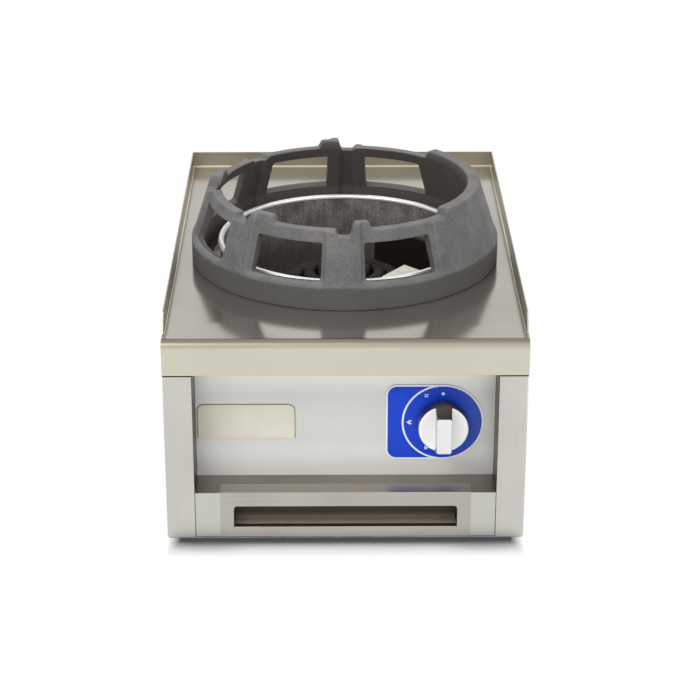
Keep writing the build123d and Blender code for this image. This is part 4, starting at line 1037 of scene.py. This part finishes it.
# ---------------------------------------------------------------- burner
@dataclass(frozen=True)
class BurnerRing:
    """One cast burner ring: a hollow body and a crown of teeth with flame ports between them."""

    node: str
    inner: float
    outer: float
    top: float
    teeth: int
    seat: float = 206 * MM
    wall: float = 3 * MM
    port_depth: float = 6.5 * MM
    boss: float = 17 * MM
    port_share: float = 0.42
    unevenness: float = 0.004
    # across a tooth: share of its half width, and how far its top drops there in mm
    rounding: tuple[tuple[float, float], ...] = ((-1.0, 1.6), (-0.7, 0.5), (0.0, 0.0), (0.7, 0.5), (1.0, 1.6))
    steps: int = 144

    @property
    def step(self) -> float:
        """Height of the ports' floor."""
        return self.top - self.port_depth

    def body(self) -> bpy.types.Mesh:
        """Hollow ring under the teeth; the crown, which has no hole, has a domed boss."""
        lid = self.step - self.wall
        skirt = [(self.outer, self.step), (self.outer, self.seat), (self.outer - self.wall, self.seat),
                 (self.outer - self.wall, lid)]
        if self.inner:
            lining = self.inner + self.wall
            outline = [(self.inner, self.seat), (self.inner, self.step), *skirt, (lining, lid),
                       (lining, self.seat)]
        else:
            dome = [(0.0, self.top), (self.boss - 6 * MM, self.top - 0.6 * MM),
                    (self.boss - 2.5 * MM, self.top - 2.4 * MM), (self.boss - 1 * MM, self.step)]
            outline = [*dome, *skirt, (0.0, lid)]
        return turned(f"{self.node}_body", outline, UNMOVED, self.steps)

    def tooth(self) -> bpy.types.Mesh:
        """One wedge-shaped tooth, rounded on top, reaching over the ring's whole width."""
        near = self.inner or self.boss
        half = math.pi * self.outer / self.teeth * (1.0 - self.port_share)
        far, low, top = self.outer, self.step - 0.5 * MM, self.top
        sides = [(near, low), (far, low), (far, top - 3.4 * MM), (far - 1.2 * MM, top - 1.2 * MM),
                 (far - 3.2 * MM, top), (near + 2.4 * MM, top), (near + 0.8 * MM, top - 0.9 * MM),
                 (near, top - 2.4 * MM)]
        loops = [[(r, share * half * r / far, z - (drop * MM if z > low else 0.0)) for r, z in sides]
                 for share, drop in self.rounding]
        return stacked(f"{self.node}_tooth", loops)

    def mesh(self, repeater: Repeater, finish: bpy.types.Material, place: Matrix) -> bpy.types.Mesh:
        """Body and teeth as one casting."""
        turn = (0.0, 0.0, 2 * math.pi / self.teeth)
        crown = repeater.repeat(self.tooth(), self.teeth, finish, turn=turn, unevenness=self.unevenness,
                                seed=self.teeth)
        mesh = joined(f"{self.node}_casting", (self.body(), crown))
        mesh.transform(place)
        return mesh


# ---------------------------------------------------------------- knob and dial
@dataclass(frozen=True)
class KnobShape:
    """Sizes of the knob, in front of the control panel and from its axis."""

    radius: float = 28 * MM
    gap: float = 6 * MM
    face: float = 20 * MM
    grip_face: float = 40 * MM
    grip_half: float = 8.5 * MM
    grip_foot_half: float = 9.3 * MM
    grip_length: float = 20.6 * MM
    grip_foot_length: float = 28.2 * MM
    corner: float = 2.4 * MM
    wall: float = 3 * MM
    dish: float = 0.3 * MM
    bow: float = 0.9 * MM
    steps: int = 160

    def skirt(self, place: Matrix) -> bpy.types.Mesh:
        """Hollow round skirt with a slightly dished face."""
        r, gap, face = self.radius, self.gap, self.face
        edge = [(r + x * MM, face + y * MM) for x, y in ((0, -1.4), (-0.15, -0.75), (-0.5, -0.25), (-1.1, 0))]
        inside, floor = face - self.wall, face - self.dish
        outline = [(r - self.wall, gap), (r, gap), *edge, (r - 3.4 * MM, face), (r - 3.9 * MM, floor),
                   (0.0, floor), (0.0, inside), (r - self.wall, inside)]
        return turned("knob_skirt", outline, place, self.steps)

    def outline(self, height: float, inset: float) -> Loop:
        """Rounded cross-section of the grip at a height, its ends slightly bowed."""
        share = max(0.0, (height - self.face) / (self.grip_face - self.face))
        half = self.grip_foot_half + share * (self.grip_half - self.grip_foot_half) - inset
        length = self.grip_foot_length + share * (self.grip_length - self.grip_foot_length) - inset
        c = self.corner
        corners = ((half - c, length - c, 0), (c - half, length - c, 90), (c - half, c - length, 180),
                   (half - c, c - length, 270))
        flat = [p for x, y, start in corners for p in arc(x, y, c, start, start + 90, 9)]
        return [(x, y + math.copysign(self.bow * max(0.0, 1 - (x / half) ** 2), y), height) for x, y in flat]

    def grip(self, place: Matrix) -> bpy.types.Mesh:
        """Tapered grip bar whose ends run down to the back of the skirt."""
        top = self.grip_face
        levels = ((self.gap, 0.0), (self.face, 0.0), (top - 1.2 * MM, 0.0), (top - 0.55 * MM, 0.15 * MM),
                  (top - 0.15 * MM, 0.5 * MM), (top, 1.1 * MM))
        return stacked("knob_grip", [self.outline(z, inset) for z, inset in levels], place)


@dataclass(frozen=True)
class DialShape:
    """Enamelled plate behind the knob: round on the right, square on the left."""

    radius: float = 46 * MM
    tail: float = 64 * MM
    corner: float = 12.5 * MM
    thick: float = 0.8 * MM
    line: float = 2.1 * MM
    print_height: float = 0.12 * MM
    off_place: tuple[float, float] = (35 * MM, 1.9 * MM)
    flame_places: tuple[tuple[float, float, float], ...] = ((180.0, 37.2 * MM, 1.0), (240.0, 36.5 * MM, 0.8))
    spark_place: tuple[float, float] = (119.6, 37.7 * MM)
    # outline of a flame that lies on its side, in mm
    flame: tuple[tuple[float, float], ...] = (
        (3.6, 0.0), (1.9, 1.2), (0.2, 2.5), (-1.7, 2.6), (-2.9, 1.5), (-1.3, 1.3), (-0.2, 0.0),
        (-1.2, -1.2), (-2.8, -1.4), (-1.7, -2.6), (0.2, -2.5), (1.9, -1.3))

    def outline(self, inset: float) -> list[tuple[float, float]]:
        """Edge of the plate, drawn in by an inset."""
        r, c = self.radius, self.corner
        return (arc(0, 0, r - inset, -90, 90, 61) + arc(c - self.tail, r - c, c - inset, 90, 180, 13)
                + arc(c - self.tail, c - r, c - inset, 180, 270, 13))

    def plate(self, place: Matrix) -> bpy.types.Mesh:
        """The blue plate."""
        return stacked("dial_enamel", slab(self.outline(0.0), 0.0, self.thick), place)

    def spots(self) -> list[list[tuple[float, float]]]:
        """Outlines of the filled marks: off, and the high and low flames."""
        marks = [arc(0, *self.off_place, 0, 330, 12)]
        for angle, radius, size in self.flame_places:
            c, n = math.cos(math.radians(angle)), math.sin(math.radians(angle))
            marks.append([(radius * c + size * MM * (u * c - v * n), radius * n + size * MM * (u * n + v * c))
                          for u, v in self.flame])
        return marks

    def markings(self, place: Matrix) -> bpy.types.Mesh:
        """White lines and marks, printed on the plate."""
        low, high = self.thick, self.thick + self.print_height
        w = self.line
        edge = band(self.outline(0.0), self.outline(w), low - 0.3 * MM, high)
        parts = [stacked("edge_line", edge, place, True)]
        left = arc(0, 0, self.radius, 97, 263, 61) + arc(0, 0, self.radius - w, 263, 97, 61)
        parts.append(stacked("dial_line", slab(left, low, high - 0.04 * MM), place))
        parts += [stacked("mark", slab(spot, low, high), place) for spot in self.spots()]
        angle, radius = self.spark_place
        spark = math.radians(angle)
        x, y = radius * math.cos(spark), radius * math.sin(spark)
        rays = [(x + r * MM * math.cos(a), y + r * MM * math.sin(a))
                for a, r in ((spark + k * math.pi / 4, 2.9 if k % 2 == 0 else 1.6) for k in range(8))]
        core = [(x + (u - x) * 0.6, y + (v - y) * 0.6) for u, v in rays]
        parts.append(stacked("spark", band(rays, core, low, high), place, True))
        return joined("dial_markings", parts)


# ---------------------------------------------------------------- the range
class WokRange:
    """Puts every piece of the range on the frame."""

    KNOB_TRAVEL = 4 * MM
    RING_SHIFT = 0.8 * MM
    WELL_STEPS = 256
    THREAD_STEPS = 64
    FLUSH_MOVE = 1.7 * MM

    def __init__(self, frame: dict) -> None:
        self.shop = Workshop(frame)
        self.repeater = Repeater()
        low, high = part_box("wok_ring")
        self.axis = Vector(((low.x + high.x) / 2, (low.y + high.y) / 2, 0))
        self.work_surface = low.z

    def build(self) -> None:
        """Build all sub-assemblies."""
        self.casing()
        self.well()
        self.cooking()
        self.controls()
        self.gas_train()
        self.drawer()

    def casing(self) -> None:
        """Sheet-metal casing and feet."""
        clad = self.shop.clad
        clad("top_plate", Finish.WORK_TOP, 0.4 * MM)
        self.folds()
        for node in ("side_panel_left", "side_panel_right"):
            self.flush(clad(node, Finish.POST).data)
        self.shop.clad_all({"control_panel": Finish.PANEL, "drawer_ledge": Finish.LEDGE,
                            "rear_panel": Finish.GALVANISED, "floor_pan": Finish.GALVANISED})
        clad("rear_screws", Finish.ZINC, 0.5 * MM)
        for end in ("front", "rear"):
            for side in ("left", "right"):
                clad(f"foot_{end}_{side}", Finish.RUBBER, 0.6 * MM)

    def flush(self, mesh: bpy.types.Mesh) -> None:
        """Bring the wall of a side panel out flush with the work top, below the lip."""
        low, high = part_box("top_plate")
        bm = bmesh.new()
        bm.from_mesh(mesh)
        for level in (low.z - 0.5 * MM, low.z - 0.1 * MM):
            parts = [*bm.verts, *bm.edges, *bm.faces]
            bmesh.ops.bisect_plane(bm, geom=parts, plane_co=(0, 0, level), plane_no=(0, 0, 1), dist=1e-7)
        for corner in bm.verts:
            if abs(corner.co.x) > high.x - 3.6 * MM and corner.co.z < low.z - 0.3 * MM:
                corner.co.x += math.copysign(self.FLUSH_MOVE, corner.co.x)
        bm.to_mesh(mesh)
        bm.free()

    def folds(self) -> None:
        """Inner bend radius along the foot of each splash guard."""
        low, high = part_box("top_plate")
        level = self.work_surface
        sheet, radius = 1.5 * MM, 1.5 * MM
        cove = [(0.0, 0.0), *[(radius - x, radius - y) for x, y in arc(0, 0, radius, 0, 90, 7)]]
        start = low.y + 24 * MM
        left, right, rear = low.x + sheet, high.x - sheet, high.y - sheet
        # the bends take the paler fold tone, a painted highlight
        for name, ends, (dx, dy) in (("guard_fold_rear", ((left, rear), (right, rear)), (0, -1)),
                                     ("guard_fold_left", ((left, start), (left, rear)), (1, 0)),
                                     ("guard_fold_right", ((right, start), (right, rear)), (-1, 0))):
            loops = [[(x + u * dx, y + u * dy, level + v) for u, v in cove] for x, y in ends]
            self.shop.add(name, stacked(name, loops), Finish.FOLD_HIGHLIGHT, "casing")

    def well(self) -> None:
        """Stained wall and polished rolled rim of the burner well."""
        radius, sheet, top = 144 * MM, 1.2 * MM, self.work_surface + 24 * MM
        depth, drop, opening, rim = 80 * MM, 12 * MM, 108 * MM, 6 * MM
        place = Matrix.Translation(self.axis)
        wall_top = top - rim / 2 - 1.2 * MM
        level = self.work_surface
        foot = level - depth
        wall = [(radius, foot), (radius, wall_top), (radius + sheet, wall_top),
                (radius + sheet, foot - sheet), (opening, foot - drop - sheet), (opening, foot - drop)]
        mesh = turned("well_wall", wall, place, self.WELL_STEPS)
        self.shop.add("well_wall", mesh, Finish.WELL, "casing", ("well_bowl",))
        edge = rim / 2
        middle, outside = top - edge, radius + edge
        roll = arc(outside - 1 * MM, middle, edge, 180, 90, 9) + arc(outside, middle, edge, 90, 0, 9)
        roll += [(radius + rim, wall_top), (radius - 1 * MM, wall_top)]
        self.shop.add("well_rim", turned("well_rim", roll, place, self.WELL_STEPS), Finish.RIM, "casing")
        self.shop.clad("well_collar", Finish.WELL)

    def cooking(self) -> None:
        """Cast ring, burner and pilot."""
        ring = WokRing(RingShape(), self.axis + Vector((self.RING_SHIFT, 0, 0)), self.work_surface)
        self.shop.add("wok_ring_casting", ring.mesh(), Finish.RING, "wok_ring", ("wok_ring",))
        place = Matrix.Translation(self.axis)
        iron = self.shop.palette[Finish.BURNER]
        rings = (BurnerRing("burner_crown", 0.0, 31 * MM, 233 * MM, 30),
                 BurnerRing("burner_ring_middle", 36 * MM, 48 * MM, 226 * MM, 44),
                 BurnerRing("burner_ring_outer", 53 * MM, 67 * MM, 219 * MM, 62))
        for shape in rings:
            mesh = shape.mesh(self.repeater, iron, place)
            self.shop.add(f"{shape.node}_casting", mesh, Finish.BURNER, "burner_head", (shape.node,))
        self.shop.clad("burner_body", Finish.BURNER, 0.5 * MM)
        self.shop.clad_all({
            "burner_cradle": Finish.GALVANISED, "mixing_tube": Finish.BURNER, "air_shutter": Finish.ZINC,
            "pilot_shield": Finish.SHIELD, "pilot_bracket": Finish.ZINC, "pilot_burner": Finish.BRASS,
            "thermocouple": Finish.SPRING, "pilot_pipe": Finish.ALUMINIUM,
            "thermocouple_lead": Finish.COPPER})

    def controls(self) -> None:
        """Dial, knob, name plate and valve."""
        clad = self.shop.clad
        low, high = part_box("dial_plate")
        knob_low, knob_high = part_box("knob")
        place = facing_cook((knob_low.x + knob_high.x) / 2, high.y, (low.z + high.z) / 2)
        dial = DialShape()
        self.shop.add("dial_enamel", dial.plate(place), Finish.DIAL, "casing", ("dial_plate",))
        self.shop.add("dial_markings", dial.markings(place), Finish.MARK, "casing")
        shape = KnobShape()
        self.shop.add("knob_skirt", shape.skirt(place), Finish.KNOB, "knob", ("knob",))
        self.shop.add("knob_grip", shape.grip(place), Finish.KNOB, "knob")
        clad("name_plate", Finish.PLATE)
        self.name_plate_edge()
        self.shop.clad_all({"valve_stem": Finish.SPRING, "valve_body": Finish.BRASS,
                            "valve_bonnet": Finish.ZINC, "valve_plug": Finish.BRASS})
        spring = clad("stem_spring", Finish.SPRING)
        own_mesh(spring)

    def name_plate_edge(self) -> None:
        """Dark edge line round the top and sides of the bare name plate."""
        low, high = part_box("name_plate")
        place = facing_cook((low.x + high.x) / 2, high.y, (low.z + high.z) / 2)
        half, rise, corner = (high.x - low.x) / 2, (high.z - low.z) / 2, 8 * MM
        thick = high.y - low.y

        def outline(inset: float) -> list[tuple[float, float]]:
            """Open line up the left side, over the top and down the right."""
            return ([(inset - half, -rise)] + arc(corner - half, rise - corner, corner - inset, 180, 90, 13)
                    + arc(half - corner, rise - corner, corner - inset, 90, 0, 13) + [(half - inset, -rise)])

        line = outline(0.0) + outline(0.9 * MM)[::-1]
        mesh = stacked("name_plate_edge", slab(line, thick, thick + 0.1 * MM), place)
        self.shop.add("name_plate_edge", mesh, Finish.PLATE_EDGE, "casing")

    def gas_train(self) -> None:
        """Pipes, nuts and the threaded inlet."""
        self.shop.clad_all({"gas_pipe": Finish.ZINC, "supply_pipe": Finish.ZINC, "union_nuts": Finish.BRASS,
                            "injector": Finish.BRASS, "inlet_nut": Finish.BRASS})
        self.shop.clad("gas_inlet", Finish.BRASS, 0.3 * MM)
        self.inlet_thread()

    def inlet_thread(self) -> None:
        """Thread turns on the stub of the inlet, with a groove between them."""
        low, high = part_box("gas_inlet")
        nut_low, nut_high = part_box("inlet_nut")
        radius, pitch, turns = 10.475 * MM, 1.814 * MM, 11
        root, ridge = radius - 0.9 * MM, radius + 0.02 * MM
        crest = [(root, 0.0), (ridge, 0.55 * pitch), (ridge, 0.62 * pitch), (root, pitch)]
        one = turned("inlet_thread", crest, UNMOVED, self.THREAD_STEPS)
        place = facing_cook((nut_low.x + nut_high.x) / 2, high.y - 0.4 * MM, (nut_low.z + nut_high.z) / 2)
        mesh = self.repeater.repeat(one, turns, self.shop.palette[Finish.BRASS], step=(0.0, 0.0, pitch))
        mesh.transform(place)
        self.shop.add("inlet_thread", crisp(mesh), Finish.BRASS, "casing")

    def drawer(self) -> None:
        """Drip drawer and its rails."""
        self.shop.clad_all({"drawer_front": Finish.DRAWER, "drawer_handle": Finish.HANDLE,
                            "drip_pan": Finish.DRIP_PAN})
        self.finger_tray()
        self.shop.clad_all({"drawer_rail_left": Finish.GALVANISED, "drawer_rail_right": Finish.GALVANISED})

    def finger_tray(self) -> None:
        """Bent sheet that closes the finger room below and behind the slot."""
        low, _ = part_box("drip_pan")
        front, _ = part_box("drawer_handle")
        base, sheet, reach, bend = front.z + 8.9 * MM, 0.8 * MM, 124.4 * MM, 6 * MM
        start, end = front.y + 9.4 * MM, low.y - 0.2 * MM
        under = [(start, base), *arc(end - bend, base + bend, bend, 270, 360, 9), (end, base + 14 * MM)]
        above = [(end - sheet, base + 14 * MM), *arc(end - bend, base + bend, bend - sheet, 360, 270, 9),
                 (start, base + sheet)]
        loops = [[(x, y, z) for y, z in under + above] for x in (-reach, reach)]
        # the tray's dark tone is painted shade inside the slot; its up-facing faces carry painted light
        self.shop.add("finger_tray", stacked("finger_tray", loops), Finish.FINGER_TRAY, "drawer")
        # light bead along the slot's lower lip: a painted highlight
        bead = arc(front.y + 1.1 * MM, base + 0.7 * MM, 0.9 * MM, 0, 330, 12)
        loops = [[(x, y, z) for y, z in bead] for x in (-reach, reach)]
        self.shop.add("slot_highlight_bead", stacked("slot_highlight_bead", loops), Finish.FOLD_HIGHLIGHT, "drawer")


# ---------------------------------------------------------------- stage
@dataclass(frozen=True)
class CameraPose:
    """Where the photograph was taken from."""

    location: tuple[float, float, float] = (-0.0154, -2.3961, 1.1410)
    pan: float = -0.55
    tilt: float = 90.0 - 23.365
    roll: float = 0.08
    lens: float = 108.58
    sensor: float = 36.0

    def place(self) -> None:
        """Make the scene's camera."""
        data = bpy.data.cameras.new("photo_camera")
        data.lens = self.lens
        data.sensor_width = self.sensor
        data.clip_start = 0.1
        data.clip_end = 50.0
        camera = placed("photo_camera", data)
        pose = Matrix.Translation(self.location)
        for angle, axis in ((self.pan, "Z"), (self.tilt, "X"), (self.roll, "Z")):
            pose = pose @ Matrix.Rotation(math.radians(angle), 4, axis)
        camera.matrix_world = pose
        bpy.context.scene.camera = camera


@dataclass(frozen=True)
class Softbox:
    """One area lamp."""

    name: str
    location: tuple[float, float, float]
    aim: tuple[float, float, float]
    size: float
    watts: float

    def place(self) -> None:
        """Hang the lamp."""
        data = bpy.data.lights.new(self.name, "AREA")
        data.shape = "SQUARE"
        data.size = self.size
        data.energy = self.watts
        lamp = placed(self.name, data)
        lamp.location = self.location
        lamp.rotation_euler = (Vector(self.aim) - Vector(self.location)).to_track_quat("-Z", "Y").to_euler()


class Studio:
    """White surroundings, floor with a contact shadow, lamps and camera."""

    AMBIENT = 0.72
    FLOOR = 12.0
    FLOOR_DROP = 0.1 * MM
    SHADOW_REACH = 0.038
    LAMPS = (
        Softbox("key_lamp", (-1.3, -1.7, 2.3), (0.0, 0.0, 0.2), 1.6, 34.0),
        Softbox("fill_lamp", (1.6, -1.4, 1.6), (0.0, 0.0, 0.2), 1.6, 12.0),
    )

    def build(self) -> None:
        """Set up everything that isn't the range."""
        self.world()
        self.floor()
        for lamp in self.LAMPS:
            lamp.place()
        CameraPose().place()
        view = bpy.context.scene.view_settings
        view.view_transform = "Standard"
        view.look = "None"

    def world(self) -> None:
        """White to camera, mirror and glass rays, softer to the rest."""
        world = bpy.data.worlds.new("studio")
        bpy.context.scene.world = world
        world.use_nodes = True
        tree = world.node_tree
        tree.nodes.clear()
        path = tree.nodes.new("ShaderNodeLightPath")
        seen, through = tree.nodes.new("ShaderNodeMath"), tree.nodes.new("ShaderNodeMath")
        seen.operation = through.operation = "MAXIMUM"
        level = tree.nodes.new("ShaderNodeMapRange")
        level.inputs["To Min"].default_value = self.AMBIENT
        level.inputs["To Max"].default_value = 1.0
        glow = tree.nodes.new("ShaderNodeBackground")
        glow.inputs["Color"].default_value = (1, 1, 1, 1)
        out = tree.nodes.new("ShaderNodeOutputWorld")
        for source, target in (
                ("Is Camera Ray", seen.inputs[0]), ("Is Glossy Ray", seen.inputs[1]),
                ("Is Transmission Ray", through.inputs[1])):
            tree.links.new(path.outputs[source], target)
        for source, target in ((seen, through.inputs[0]), (through, level.inputs["Value"]),
                               (level, glow.inputs["Strength"]), (glow, out.inputs["Surface"])):
            tree.links.new(source.outputs[0], target)

    def floor(self) -> None:
        """White floor that darkens where the range stands close."""
        s = self.FLOOR / 2
        mesh = mesh_from("floor", np.array([(-s, -s, 0), (s, -s, 0), (s, s, 0), (-s, s, 0)]), [(0, 1, 2, 3)])
        floor = placed("floor", mesh)
        floor.location.z = -self.FLOOR_DROP
        g = ShaderGraph("floor")
        near = g.add("ShaderNodeAmbientOcclusion", {"Distance": self.SHADOW_REACH}, samples=8)
        shade = g.between(near.outputs["AO"], 0.54, 0.985)
        aside = g.between(g.math("ABSOLUTE", g.place("X")), 186 * MM, 200 * MM)
        colour = g.mix(g.math("MAXIMUM", shade, aside), "#4c4d4f", (1, 1, 1, 1))
        glow = g.add("ShaderNodeEmission", {"Color": colour, "Strength": 1.0})
        g.tree.links.new(glow.outputs[0], g.output.inputs["Surface"])
        g.tree.nodes.remove(g.shader)
        mesh.materials.append(g.material)
        floor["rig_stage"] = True


def corners(bounds: tuple[Vector, Vector]) -> list[list[float]]:
    """A bounding box as plain lists."""
    return [list(bounds[0]), list(bounds[1])]


def main() -> None:
    """Build the scene around the frame."""
    logging.basicConfig(level=logging.INFO, format="%(name)s: %(message)s")
    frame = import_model()
    cad_box = corners(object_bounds())
    WokRange(frame).build()
    Studio().build()
    {"cad": cad_box, "visual": corners(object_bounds())}


if __name__ == "__main__":
    main()
